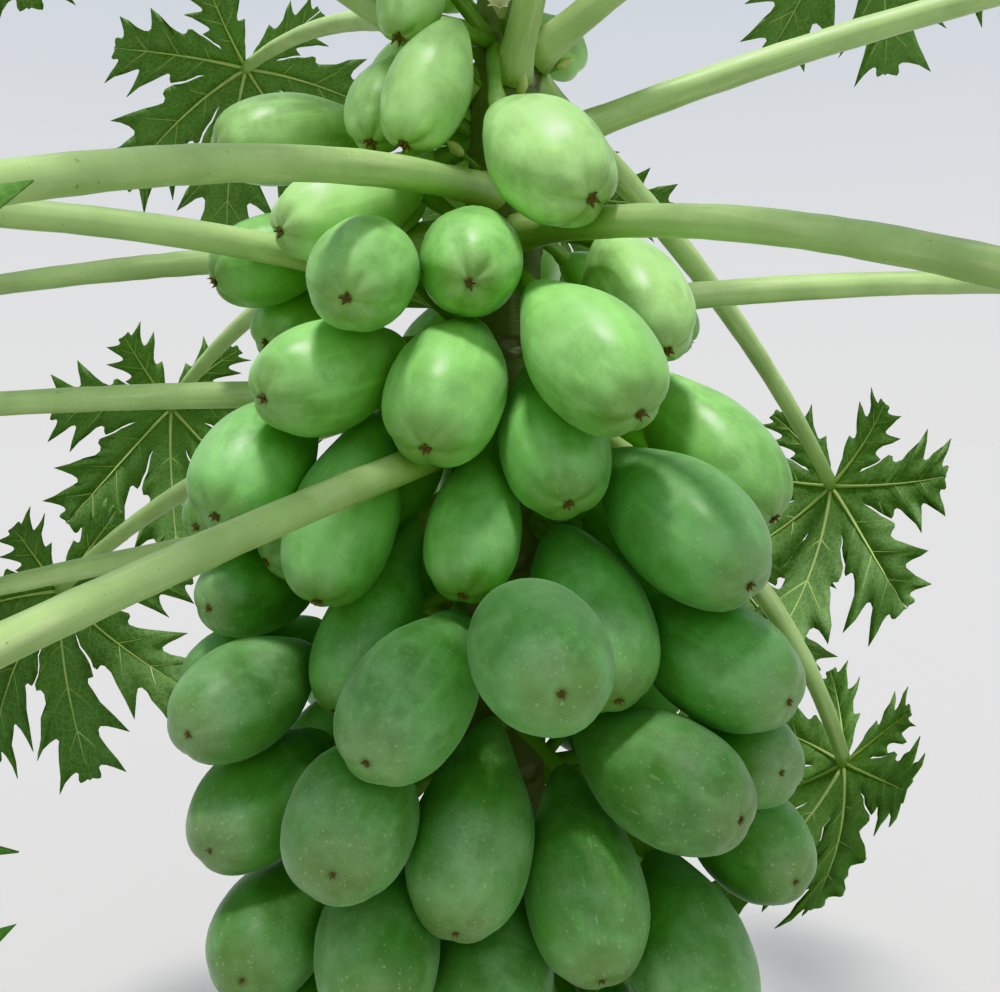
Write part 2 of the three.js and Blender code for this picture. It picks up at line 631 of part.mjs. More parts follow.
// A leaf in one closed skin: the stalk from its foot to the neck, and the blade that its ribs spread into. The blade
// nods down from the line of the stalk's end.
function leafSkin([angle, height, rise, sag, length, bladeRadius], radiusAt) {
  const line = leafStalk([angle, height, rise, sag, length], LEAF_STALK_STEPS);
  const tilt = rise - sag - BLADE_NOD;
  const ahead = heading(angle, tilt);
  const side = vector().crossVectors(vector(0, 0, 1), heading(angle, 0)).normalize();
  const up = vector().crossVectors(ahead, side);
  const { points, faces, rim, hub } = bladeTop(bladeRadius);
  const place = (p) => line.at(-1).clone().addScaledVector(ahead, p.x).addScaledVector(side, p.y).addScaledVector(up, p.z);
  const count = points.length;
  const under = points.map((p) => p.clone().sub(vector(0, 0, BLADE_THICKNESS)));
  const placed = [...points, ...under].map(place);
  const all = faces.flatMap(([a, b, c]) => [
    [a, b, c],
    [a + count, c + count, b + count],
  ]);
  rim.forEach((a, i) => {
    const b = rim[(i + 1) % rim.length];
    all.push([b, a, a + count], [b, a + count, b + count]);
  });
  const middle = placed.push(line.at(-1)) - 1;
  hub.forEach((a, i) => all.push([middle, a, hub[(i + 1) % hub.length]]));
  // The stalk's rings start below the blade's middle and run back to the foot.
  const end = line.at(-1).clone().sub(line.at(-2)).normalize();
  const neck = line.at(-1).clone().addScaledVector(end, -LEAF_NECK);
  const centres = [neck, ...line.slice(0, -1).reverse()];
  const rings = centres.map((centre, i) => {
    const along = (centres[i - 1] ?? line.at(-1)).clone().sub(centres[i + 1] ?? centre).normalize();
    const lift = vector().crossVectors(along, side);
    const radius = radiusAt(i ? 1 - i / LEAF_STALK_STEPS : 1);
    return Array.from({ length: LEAF_STALK_SIDES }, (_, k) => {
      const turn = Math.PI * ((2 * (k + 0.5)) / LEAF_STALK_SIDES - 1);
      const point = centre.clone().addScaledVector(side, radius * Math.sin(turn));
      return placed.push(point.addScaledVector(lift, -radius * Math.cos(turn))) - 1;
    });
  });
  const sides = LEAF_STALK_SIDES;
  const share = (i) => rings[0][Math.min(sides - 1, Math.floor((i * sides) / hub.length))];
  hub.forEach((a, i) => {
    const b = (i + 1) % hub.length;
    all.push([a + count, share(i), hub[b] + count]);
    if (share(b) !== share(i)) all.push([share(i), share(b), hub[b] + count]);
  });
  const foot = placed.push(line[0]) - 1;
  for (let k = 0; k < sides; k++) {
    const next = (k + 1) % sides;
    for (let i = 1; i < rings.length; i++) {
      all.push([rings[i - 1][k], rings[i][k], rings[i][next]], [rings[i - 1][k], rings[i][next], rings[i - 1][next]]);
    }
    all.push([rings.at(-1)[k], foot, rings.at(-1)[next]]);
  }
  return { positions: placed.flatMap((p) => p.toArray()), faces: all.flat() };
}

function leafSolid(leaf, grow = 0) {
  return solid(leafSkin(leaf, (share) => leafStalkRadius(leaf[4] * share, leaf[4]) + grow));
}

function growingTip() {
  const base = trunkMiddle(TRUNK_HEIGHT + GAP);
  const heights = [0, 0, 0.35, 0.75, 1, 1];
  const widths = [0, 1, 0.95, 0.6, 0.18, 0];
  const centres = heights.map((h) => base.clone().add(vector(0, 0, h * BUD_HEIGHT)));
  let made = solid(skin(centres, (i) => widths[i] * BUD_RADIUS, 8, vector(0, 1, 0)));
  for (const [angle, rise, sag, length, radius] of YOUNG_LEAVES) {
    const young = [angle, TRUNK_HEIGHT + 0.4 * BUD_HEIGHT, rise, sag, length, radius];
    made = made.add(solid(leafSkin(young, (share) => YOUNG_STALK_RADIUS * (1 - 0.4 * share))));
  }
  return made;
}

const number = (i) => String(i + 1).padStart(2, "0");

// Cuts a piece clear of a neighbour that is a little grown, and keeps its main body.
function cutClear(made, neighbour) {
  if (made.intersect(neighbour).volume() < 1e-3) return made;
  const bodies = made.subtract(neighbour).decompose();
  return bodies.reduce((a, b) => (b.volume() > a.volume() ? b : a));
}

function tree() {
  const group = new THREE.Group();
  const bark = trunk(GAP);
  const leaves = [];
  LEAVES.forEach((leaf) => {
    const clear = leaves.reduce((made, { grown }) => cutClear(made, grown), leafSolid(leaf).subtract(bark));
    leaves.push({ made: clear, grown: leafSolid(leaf, GAP) });
  });
  const fruit = hangFruit();
  settle(fruit, LOOSE_ROUNDS, YOUNG_GIRTH);
  const bunches = gather(fruit);
  settle(fruit, TIED_ROUNDS, 1);
  const hung = [];
  bunches.forEach((bunch) => {
    const neighbours = [...leaves, ...hung];
    const clear = neighbours.reduce((made, { grown }) => cutClear(made, grown), bunchSolid(bunch).subtract(bark));
    hung.push({ made: clear, grown: bunchSolid(bunch, GAP) });
  });
  group.add(piece("trunk", trunk(), BARK));
  leaves.forEach(({ made }, i) => group.add(piece(`leaf_${number(i)}`, made, BLADE)));
  group.add(piece("growing_tip", growingTip(), YOUNG_SKIN));
  hung.forEach(({ made }, i) => {
    const finish = bunches[i][0].length > 150 ? SKIN : YOUNG_SKIN;
    group.add(piece(`fruit_bunch_${number(i)}`, made, finish));
  });
  return group;
}

export default tree();
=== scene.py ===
# %% [markdown]
# # A papaya tree in full bearing
#
# This lesson dresses a papaya tree. The measured model already says where everything is: one trunk, a thick column
# of green fruit, and long-stalked leaves between and above them. Here each of those plain solids gets the surface of
# the real plant: bark with leaf scars, waxy skins, deeply cut blades with pale ribs, and a few flowers.
#
# Lengths are in metres, +Z is up, and the side that the photograph shows faces -Y.

# %% Load the measured model
import math

import bpy
import numpy as np
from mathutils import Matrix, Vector, noise


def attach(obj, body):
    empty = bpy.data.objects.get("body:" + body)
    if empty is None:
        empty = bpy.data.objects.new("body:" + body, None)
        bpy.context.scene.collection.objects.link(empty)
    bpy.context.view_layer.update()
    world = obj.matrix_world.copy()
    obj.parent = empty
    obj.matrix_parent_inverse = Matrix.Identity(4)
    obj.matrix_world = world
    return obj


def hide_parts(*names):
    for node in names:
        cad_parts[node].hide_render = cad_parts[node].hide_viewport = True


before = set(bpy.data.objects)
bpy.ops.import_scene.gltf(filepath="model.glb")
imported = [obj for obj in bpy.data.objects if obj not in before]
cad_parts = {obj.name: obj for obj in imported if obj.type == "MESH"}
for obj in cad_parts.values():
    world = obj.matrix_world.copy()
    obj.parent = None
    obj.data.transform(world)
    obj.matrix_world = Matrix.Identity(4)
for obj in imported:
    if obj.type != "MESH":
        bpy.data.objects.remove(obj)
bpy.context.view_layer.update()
node_names = sorted(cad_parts)

# %% [markdown]
# ## The rules that the plant grows by
#
# The trunk leans a little and tapers to its tip. Fruit and leaf scars follow one spiral that turns by the golden
# angle at every step. A seeded wobble keeps neighbours from looking alike, and gives the same tree on every run.

# %% Trunk and spiral
TRUNK_HEIGHT = 2.07
TRUNK_FOOT_RADIUS = 0.078
TRUNK_TIP_RADIUS = 0.024
TRUNK_TAPER_POWER = 1.5
TRUNK_LEAN = 0.034
FLARE_REACH = 0.034
FLARE_HEIGHT = 0.075
FLARE_BUTTRESSES = 5
FLARE_WAVE = 0.3
SPIRAL_LOW = 0.56
SPIRAL_STEP = 0.019
SPIRAL_ANGLE = 137.508


def trunk_middle(z):
    """Middle of the trunk at a height."""
    return np.array([TRUNK_LEAN * (z / TRUNK_HEIGHT) ** 2, 0.0, z])


def trunk_radius(z):
    """Radius of the trunk at a height, without the flare of its foot."""
    share = np.clip(np.asarray(z) / TRUNK_HEIGHT, 0, 1) ** TRUNK_TAPER_POWER
    return TRUNK_FOOT_RADIUS + (TRUNK_TIP_RADIUS - TRUNK_FOOT_RADIUS) * share


def heading(angle, rise=0.0):
    """Unit vector at a compass angle, 0 towards -Y and positive towards +X, and an elevation, in degrees."""
    a, e = math.radians(angle), math.radians(rise)
    return np.array([math.sin(a) * math.cos(e), -math.cos(a) * math.cos(e), math.sin(e)])


def wobble(seed):
    """A seeded number between -1 and 1."""
    x = math.sin(seed * 12.9898) * 43758.5453
    return 2 * (x - math.floor(x)) - 1


print("trunk radius at 1 m:", round(float(trunk_radius(1.0)), 4))

# %% [markdown]
# ## Skins from rings
#
# Stalks, fruit, buds and ribs are all the same thing in the end: rings of points round a line, closed at both ends.
# Curve objects with a bevel could make them too, but a ring skin in mesh code can change its section on the way, and
# hundreds of them can be gathered into one mesh. Each point also keeps its place in the piece's own frame, in metres.
# The materials read that place, so that streaks run along each fruit and stalk whichever way it hangs.

# %% Ring skins and the gatherer


def unit(v):
    """A vector, or each row of several, at length one."""
    v = np.asarray(v, float)
    return v / np.maximum(np.linalg.norm(v, axis=-1, keepdims=True), 1e-12)


def tube_faces(rings, sides):
    """Faces of a tube of rings, closed at both ends by fans round two last points."""
    k = np.arange(sides)
    after = (k + 1) % sides
    faces = []
    for ring in range(rings - 1):
        low, high = ring * sides, (ring + 1) * sides
        faces += np.stack([low + k, low + after, high + after, high + k], axis=1).tolist()
    first, last, end = rings * sides, rings * sides + 1, (rings - 1) * sides
    faces += np.stack([np.full(sides, first), after, k], axis=1).tolist()
    faces += np.stack([np.full(sides, last), end + k, end + after], axis=1).tolist()
    return faces


def ring_skin(line, radii, sides):
    """Points, faces and own places of a closed skin round a line. Radii are one a ring, or one a ring and side."""
    line = np.asarray(line, float)
    radii = np.asarray(radii, float).reshape(len(line), -1)
    along = unit(np.gradient(line, axis=0))
    side = np.cross(along[0], [0.0, 0.0, 1.0])
    if np.linalg.norm(side) < 1e-6:
        side = np.array([1.0, 0.0, 0.0])
    turn = 2 * np.pi * np.arange(sides) / sides
    rings, places, run = [], [], 0.0
    for i, centre in enumerate(line):
        side = unit(side - along[i] * np.dot(side, along[i]))
        up = np.cross(along[i], side)
        spokes = np.outer(np.cos(turn), side) + np.outer(np.sin(turn), up)
        rings.append(centre + spokes * radii[i][:, None])
        run += np.linalg.norm(centre - line[i - 1]) if i else 0.0
        places.append(np.stack([np.cos(turn) * radii[i], np.sin(turn) * radii[i], np.full(sides, run)], axis=1))
    points = np.concatenate(rings + [line[:1], line[-1:]])
    places = np.concatenate(places + [[[0, 0, 0]], [[0, 0, run]]])
    return points, tube_faces(len(line), sides), places


def grid_quads(rows, columns):
    """The four-cornered faces between the points of a grid."""
    index = np.arange(rows * columns).reshape(rows, columns)
    return np.stack([index[:-1, :-1], index[1:, :-1], index[1:, 1:], index[:-1, 1:]], axis=-1).reshape(-1, 4)


class Gatherer:
    """Collects many small skins into one mesh. Each point keeps its own place and its share along its piece."""

    def __init__(self):
        self.points, self.places, self.shares = [], [], []
        self.faces, self.finishes, self.count = [], [], 0

    def add(self, points, faces, places, finish=0, share=0.5):
        """Adds one skin."""
        self.points.append(np.asarray(points, float))
        self.places.append(np.asarray(places, float))
        self.shares.append(np.broadcast_to(share, len(points)))
        self.faces += [[v + self.count for v in face] for face in faces]
        self.finishes += [finish] * len(faces)
        self.count += len(points)

    def add_ring_skin(self, line, radii, sides, shift=0.0, finish=0):
        """Adds a ring skin. The shift moves its own places, so that no two skins have the same pattern."""
        points, faces, places = ring_skin(line, radii, sides)
        self.add(points, faces, places + shift, finish)

    def build(self, name, materials):
        """Makes the piece, which stands still with the tree."""
        mesh = bpy.data.meshes.new(name)
        mesh.from_pydata(np.concatenate(self.points).tolist(), [], self.faces)
        for material in materials:
            mesh.materials.append(material)
        mesh.polygons.foreach_set("material_index", self.finishes)
        mesh.polygons.foreach_set("use_smooth", [True] * len(self.faces))
        own = mesh.attributes.new("place", "FLOAT_VECTOR", "POINT")
        own.data.foreach_set("vector", np.concatenate(self.places).astype(np.float32).ravel())
        along = mesh.attributes.new("share", "FLOAT", "POINT")
        along.data.foreach_set("value", np.concatenate(self.shares).astype(np.float32))
        mesh.validate()
        piece = bpy.data.objects.new(name, mesh)
        bpy.context.scene.collection.objects.link(piece)
        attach(piece, "root")
        triangles = sum(len(face) - 2 for face in self.faces)
        print(f"{name}: {len(mesh.vertices)} points, {triangles} triangles")
        return piece


def thicken(piece, thickness, under_shift):
    """Gives an open sheet its thickness, downwards, with other finishes below."""
    shell = piece.modifiers.new("shell", "SOLIDIFY")
    shell.thickness = thickness
    shell.offset = -1
    shell.material_offset = under_shift
    shell.material_offset_rim = under_shift
    bpy.context.view_layer.objects.active = piece
    bpy.ops.object.modifier_apply(modifier=shell.name)
    print(f"{piece.name}: {sum(len(p.vertices) - 2 for p in piece.data.polygons)} triangles with its underside")


# %% [markdown]
# ## Effects that several finishes share
#
# A living surface is never one colour. Five small effects do most of the work: broad mottling, streaks that run along
# a fruit or stalk, pale specks, a dull waxy bloom, and the net of fine veins in a leaf. Each one is a node group with
# named inputs and outputs, built once and placed in each material with its own values.

# %% Helpers for node trees


def node(tree, kind, inputs=None, **settings):
    """Adds a node, sets its options, and fills or links its inputs."""
    made = tree.nodes.new(kind)
    for key, value in settings.items():
        setattr(made, key, value)
    for key, value in (inputs or {}).items():
        if isinstance(value, bpy.types.NodeSocket):
            tree.links.new(value, made.inputs[key])
        else:
            made.inputs[key].default_value = value
    return made


def mixed(tree, factor, first, second):
    """Mixes two colours."""
    return node(tree, "ShaderNodeMix", {0: factor, 6: first, 7: second}, data_type="RGBA").outputs[2]


def ramp(tree, value, low, high, to_low=0.0, to_high=1.0):
    """Brings a value smoothly from one range to another."""
    inputs = {"Value": value, "From Min": low, "From Max": high, "To Min": to_low, "To Max": to_high}
    return node(tree, "ShaderNodeMapRange", inputs, interpolation_type="SMOOTHSTEP").outputs[0]


def maths(tree, operation, first, second):
    """One arithmetic step with two numbers."""
    return node(tree, "ShaderNodeMath", {0: first, 1: second}, operation=operation).outputs[0]


def vectors(tree, operation, first, second):
    """One arithmetic step with two places."""
    return node(tree, "ShaderNodeVectorMath", {0: first, 1: second}, operation=operation).outputs[0]


def clouds(tree, place, scale, **options):
    """A smooth noise, as its node."""
    return node(tree, "ShaderNodeTexNoise", {"Vector": place, "Scale": scale, **options})


def stretched(tree, place, stretch):
    """The same place with its run along the piece squeezed, so that patterns get longer that way."""
    return vectors(tree, "MULTIPLY", place, stretch)


# %% How an effect starts and ends
GREEN = (0.1, 0.3, 0.06, 1)


def start_effect(name, over, value, scale, amount, more=()):
    """A node group that lays a second colour over the first and puts out a value too."""
    tree = bpy.data.node_groups.new(name, "ShaderNodeTree")
    sockets = [("Place", "Vector", None), ("Color", "Color", GREEN), (over, "Color", GREEN)]
    for label, kind, usual in [*sockets, ("Scale", "Float", scale), *more, ("Amount", "Float", amount)]:
        socket = tree.interface.new_socket(label, in_out="INPUT", socket_type="NodeSocket" + kind)
        if usual is not None:
            socket.default_value = usual
    tree.interface.new_socket("Color", in_out="OUTPUT", socket_type="NodeSocketColor")
    tree.interface.new_socket(value, in_out="OUTPUT", socket_type="NodeSocketFloat")
    return tree, tree.nodes.new("NodeGroupInput").outputs, tree.nodes.new("NodeGroupOutput").inputs


def end_effect(tree, given, result, mask, value):
    """Lays the second colour over the first where the mask is."""
    factor = maths(tree, "MULTIPLY", mask, given["Amount"])
    tree.links.new(mixed(tree, factor, given["Color"], given[2]), result[0])
    tree.links.new(value, result[1])
    print("effect:", tree.name)
    return tree


# %% Mottling and streaks


def make_mottling():
    tree, given, result = start_effect("Mottling", "Shade", "Mask", 12.0, 0.6)
    cloud = clouds(tree, given["Place"], given["Scale"], Detail=6.0, Roughness=0.6)
    mask = ramp(tree, cloud.outputs["Fac"], 0.36, 0.66)
    return end_effect(tree, given, result, mask, mask)


def make_streaks():
    tree, given, result = start_effect("Streaks", "Streak Color", "Height", 90.0, 0.3)
    fibres = clouds(tree, stretched(tree, given["Place"], (1.0, 1.0, 0.1)), given["Scale"], Detail=3.0).outputs["Fac"]
    return end_effect(tree, given, result, ramp(tree, fibres, 0.5, 0.72), fibres)


mottling = make_mottling()
streaks = make_streaks()

# %% Specks
SPECK_RAGGED = 0.45
SPECK_RARITY = 2.5


def make_specks():
    tree, given, result = start_effect("Specks", "Speck Color", "Height", 160.0, 0.8, [("Size", "Float", 0.3)])
    ragged = clouds(tree, given["Place"], maths(tree, "MULTIPLY", given["Scale"], 3.0)).outputs["Color"]
    ragged = vectors(tree, "SUBTRACT", ragged, (0.5, 0.5, 0.5))
    push = maths(tree, "DIVIDE", SPECK_RAGGED, given["Scale"])
    pushed = node(tree, "ShaderNodeVectorMath", {0: ragged, "Scale": push}, operation="SCALE").outputs[0]
    where = vectors(tree, "ADD", given["Place"], pushed)
    dots = node(tree, "ShaderNodeTexVoronoi", {"Vector": where, "Scale": given["Scale"], "Randomness": 1.0})
    # Most cells have no speck or a small one, and a few have a large one.
    chance = node(tree, "ShaderNodeSeparateColor", {0: dots.outputs["Color"]}).outputs["Red"]
    reach = maths(tree, "MULTIPLY", given["Size"], maths(tree, "POWER", chance, SPECK_RARITY))
    inside = ramp(tree, maths(tree, "SUBTRACT", reach, dots.outputs["Distance"]), 0.0, 0.06)
    return end_effect(tree, given, result, inside, inside)


specks = make_specks()

# %% Waxy bloom
BLOOM_GRAIN = 330.0


def make_bloom():
    tree, given, result = start_effect("Waxy bloom", "Bloom Color", "Mask", 14.0, 0.4)
    film = clouds(tree, given["Place"], given["Scale"], Detail=5.0, Roughness=0.6).outputs["Fac"]
    film = ramp(tree, film, 0.35, 0.75)
    grain = clouds(tree, given["Place"], BLOOM_GRAIN, Detail=2.0).outputs["Fac"]
    grain = ramp(tree, grain, 0.3, 0.6, 0.6, 1.0)
    # The bloom is thicker on what faces up.
    normal = node(tree, "ShaderNodeNewGeometry").outputs["Normal"]
    upward = node(tree, "ShaderNodeSeparateXYZ", {0: normal}).outputs["Z"]
    settled = maths(tree, "MULTIPLY", maths(tree, "MULTIPLY", film, grain), ramp(tree, upward, -0.6, 0.8, 0.35, 1.0))
    return end_effect(tree, given, result, settled, settled)


bloom = make_bloom()

# %% The net of fine veins
VEIN_NETS = [(1.0, 1.0), (2.6, 0.5)]
VEIN_WIDTH = 0.14


def make_vein_net():
    """A coarse net with a finer, fainter one between its veins."""
    tree, given, result = start_effect("Vein net", "Vein Color", "Height", 90.0, 0.4)
    nets = []
    for finer, weight in VEIN_NETS:
        inputs = {"Vector": given["Place"], "Scale": maths(tree, "MULTIPLY", given["Scale"], finer)}
        cells = node(tree, "ShaderNodeTexVoronoi", inputs, feature="DISTANCE_TO_EDGE")
        nets.append(ramp(tree, cells.outputs["Distance"], 0.0, VEIN_WIDTH, weight, 0.0))
    net = maths(tree, "MAXIMUM", *nets)
    return end_effect(tree, given, result, net, net)


vein_net = make_vein_net()

# %% [markdown]
# ## Finishes
#
# A material starts with the piece's own place, passes its colour through layers of effects, and ends in one
# Principled shader. Values that are the same all over, such as the specular level or the sheen's roughness, are set
# on the shader's own sockets. Only the colour, the roughness and the bump change from spot to spot.

# %% Helpers for materials


def start_finish(name):
    """A new material: itself, its tree, its shader's sockets, and the place that each point carries."""
    material = bpy.data.materials.new(name)
    material.use_nodes = True
    tree = material.node_tree
    place = node(tree, "ShaderNodeAttribute", attribute_name="place").outputs["Vector"]
    return material, tree, tree.nodes["Principled BSDF"].inputs, place


def layered(tree, place, colour, layers):
    """Passes a colour through effects, one after another, and gives what each of them puts out."""
    made = []
    for effect, inputs in layers:
        inputs = {"Place": place, "Color": colour, **inputs}
        made.append(node(tree, "ShaderNodeGroup", inputs, node_tree=effect).outputs)
        colour = made[-1]["Color"]
    return made


def roughen(tree, sockets, mask, low, high):
    """Takes the roughness from one value to another where the mask is."""
    tree.links.new(ramp(tree, mask, 0.0, 1.0, low, high), sockets["Roughness"])


def raise_bumps(tree, sockets, height, strength, distance):
    """Feeds a height into the shader's normal."""
    inputs = {"Height": height, "Strength": strength, "Distance": distance}
    tree.links.new(node(tree, "ShaderNodeBump", inputs).outputs[0], sockets["Normal"])


def shaded(colour, by):
    """A colour made darker or lighter."""
    return (*[min(1.0, channel * by) for channel in colour[:3]], 1)


# %% Fruit finishes, from full-grown to young
# From full-grown to young. The paler tones are partly the young fruit's own colour and partly painted light, standing
# in for strong light on the upper fruit.
FRUIT_AGE_AND_PAINTED_LIGHT_TONES = [
    (0.13, 0.305, 0.09, 1),
    (0.155, 0.38, 0.112, 1),
    (0.19, 0.45, 0.125, 1),
    (0.25, 0.53, 0.15, 1),
    (0.38, 0.64, 0.23, 1),
]
FRUIT_BLOOM = (0.36, 0.5, 0.33, 1)
FRUIT_SPECK = (0.38, 0.52, 0.27, 1)
FRUIT_SCRATCH = (0.36, 0.48, 0.24, 1)
FRUIT_RUSSET = (0.14, 0.18, 0.055, 1)
FRUIT_SHOULDER_TONE = (0.26, 0.42, 0.13, 1)
FRUIT_SHEEN = (0.85, 0.95, 0.85, 1)
DRY_TONE = (0.088, 0.068, 0.032, 1)


def fruit_finish(number, tone):
    """Waxy papaya skin. Full-grown fruit are duller, with more bloom and marks, than young ones. A young fruit's
    paler tone is partly its own colour and partly painted light.
    """
    age = 1 - number / (len(FRUIT_AGE_AND_PAINTED_LIGHT_TONES) - 1)
    material, tree, sockets, place = start_finish(f"fruit_skin_{number}")
    lined = layered(tree, place, tone, [
        (mottling, {"Shade": shaded(tone, 0.62), "Scale": 10.0, "Amount": 0.8}),
        (mottling, {"Shade": shaded(tone, 1.35), "Scale": 26.0, "Amount": 0.45}),
        (streaks, {"Streak Color": shaded(tone, 1.45), "Scale": 70.0, "Amount": 0.35}),
    ])[-1]
    # The skin is paler round the stalk and darker, with a touch of brown, round the dry star.
    share = node(tree, "ShaderNodeAttribute", attribute_name="share").outputs["Fac"]
    colour = mixed(tree, ramp(tree, share, 0.0, 0.12, 0.5, 0.0), lined["Color"], FRUIT_SHOULDER_TONE)
    colour = mixed(tree, ramp(tree, share, 0.9, 0.99, 0.0, 0.45), colour, FRUIT_RUSSET)
    colour = mixed(tree, ramp(tree, share, 0.997, 0.9998, 0.0, 0.8 - 0.4 * age), colour, DRY_TONE)
    scratched = {"Place": stretched(tree, place, (1.0, 0.8, 0.14)), "Speck Color": FRUIT_SCRATCH}
    _, dotted, _, waxed = layered(tree, place, colour, [
        (mottling, {"Shade": FRUIT_RUSSET, "Scale": 47.0, "Amount": 0.22 * age}),
        (specks, {"Speck Color": FRUIT_SPECK, "Scale": 210.0, "Size": 0.34, "Amount": 0.16 + 0.27 * age}),
        (specks, {**scratched, "Scale": 150.0, "Size": 0.27, "Amount": 0.1 + 0.25 * age}),
        (bloom, {"Bloom Color": FRUIT_BLOOM, "Scale": 13.0, "Amount": 0.14 + 0.34 * age}),
    ])
    tree.links.new(waxed["Color"], sockets["Base Color"])
    roughen(tree, sockets, waxed["Mask"], 0.34 + 0.06 * age, 0.52 + 0.08 * age)
    sockets["Specular IOR Level"].default_value = 0.42
    sockets["Sheen Weight"].default_value = 0.06 + 0.1 * age
    sockets["Sheen Roughness"].default_value = 0.45
    sockets["Sheen Tint"].default_value = FRUIT_SHEEN
    height = maths(tree, "MULTIPLY", clouds(tree, place, 380.0, Detail=3.0).outputs["Fac"], 0.3)
    height = maths(tree, "ADD", height, maths(tree, "MULTIPLY", lined["Height"], 0.5))
    height = maths(tree, "ADD", height, maths(tree, "MULTIPLY", dotted["Height"], 0.4))
    raise_bumps(tree, sockets, height, 0.3, 0.0012)
    return material


fruit_materials = [fruit_finish(i, tone) for i, tone in enumerate(FRUIT_AGE_AND_PAINTED_LIGHT_TONES)]
print("fruit finishes:", [m.name for m in fruit_materials])

# %% Finishes of stalks and ribs
STALK_TONE = (0.41, 0.585, 0.23, 1)
STALK_PALE = (0.57, 0.67, 0.34, 1)
STALK_SPOT = (0.2, 0.22, 0.08, 1)
RIB_TONE = (0.42, 0.55, 0.2, 1)
YOUNG_STALK_TONE = (0.34, 0.5, 0.16, 1)
FRUIT_STALK_TONE = (0.13, 0.27, 0.06, 1)


def stalk_finish(name, tone, pale, spot=STALK_SPOT):
    """Smooth pale-green stalks with faint long streaks and small corky spots."""
    material, tree, sockets, place = start_finish(name)
    _, lined, dotted, waxed = layered(tree, place, tone, [
        (mottling, {"Shade": shaded(tone, 0.72), "Scale": 9.0, "Amount": 0.7}),
        (streaks, {"Streak Color": pale, "Scale": 120.0, "Amount": 0.4}),
        (specks, {"Speck Color": spot, "Scale": 95.0, "Size": 0.17, "Amount": 0.6}),
        (bloom, {"Bloom Color": pale, "Scale": 20.0, "Amount": 0.35}),
    ])
    tree.links.new(waxed["Color"], sockets["Base Color"])
    roughen(tree, sockets, waxed["Mask"], 0.42, 0.58)
    height = maths(tree, "ADD", lined["Height"], maths(tree, "MULTIPLY", dotted["Height"], 0.8))
    raise_bumps(tree, sockets, height, 0.4, 0.001)
    return material


leaf_stalk_material = stalk_finish("leaf_stalk_skin", STALK_TONE, STALK_PALE)
young_stalk_material = stalk_finish("young_stalk_skin", YOUNG_STALK_TONE, STALK_PALE)
rib_material = stalk_finish("leaf_rib_skin", RIB_TONE, STALK_PALE, spot=RIB_TONE)
fruit_stalk_material = stalk_finish("fruit_stalk_skin", FRUIT_STALK_TONE, STALK_TONE)
print("stalk finishes:", leaf_stalk_material.name, fruit_stalk_material.name)

# %% Leaf finishes, the upper side and the paler underside
LEAF_TONES = [(0.045, 0.155, 0.028, 1), (0.062, 0.19, 0.034, 1), (0.088, 0.23, 0.042, 1), (0.18, 0.38, 0.07, 1)]
LEAF_VEIN = (0.26, 0.4, 0.12, 1)
LEAF_BLOOM = (0.3, 0.4, 0.26, 1)
UNDERSIDE_GREY = (0.19, 0.3, 0.13)
TOP_VEINS, TOP_ROUGHNESS = 0.14, 0.5
UNDER_VEINS, UNDER_ROUGHNESS = 0.45, 0.64


def leaf_finish(name, tone, vein_amount, roughness):
    """A leaf's skin, with its net of veins a little raised."""
    material, tree, sockets, place = start_finish(name)
    _, netted, dusted = layered(tree, place, tone, [
        (mottling, {"Shade": shaded(tone, 0.68), "Scale": 14.0, "Amount": 0.7}),
        (vein_net, {"Vein Color": LEAF_VEIN, "Scale": 120.0, "Amount": vein_amount}),
        (bloom, {"Bloom Color": LEAF_BLOOM, "Scale": 9.0, "Amount": 0.14}),
    ])
    tree.links.new(dusted["Color"], sockets["Base Color"])
    roughen(tree, sockets, dusted["Mask"], roughness, roughness + 0.15)
    sockets["Specular IOR Level"].default_value = 0.36
    raise_bumps(tree, sockets, netted["Height"], 0.2, -0.0006)
    return material


def underside(tone):
    """The duller, greyer green below."""
    return (*[0.5 * channel + 0.5 * grey for channel, grey in zip(tone[:3], UNDERSIDE_GREY)], 1)


leaf_materials = [leaf_finish(f"leaf_top_{i}", tone, TOP_VEINS, TOP_ROUGHNESS) for i, tone in enumerate(LEAF_TONES)]
for i, tone in enumerate(LEAF_TONES):
    leaf_materials.append(leaf_finish(f"leaf_under_{i}", underside(tone), UNDER_VEINS, UNDER_ROUGHNESS))
print("leaf finishes:", len(leaf_materials))

# %% Bark
BARK_TONE = (0.27, 0.25, 0.185, 1)
BARK_DARK = (0.12, 0.11, 0.08, 1)
BARK_PALE = (0.46, 0.44, 0.36, 1)
# A dark green: the bark's own green, darkened as painted shade from the fruit and leaves round it.
BARK_GREEN_AND_SHADE = (0.095, 0.135, 0.05, 1)
BARK_TIP = (0.3, 0.44, 0.15, 1)
SHADE_GREEN_FROM, SHADE_GREEN_TO = 0.5, 1.0


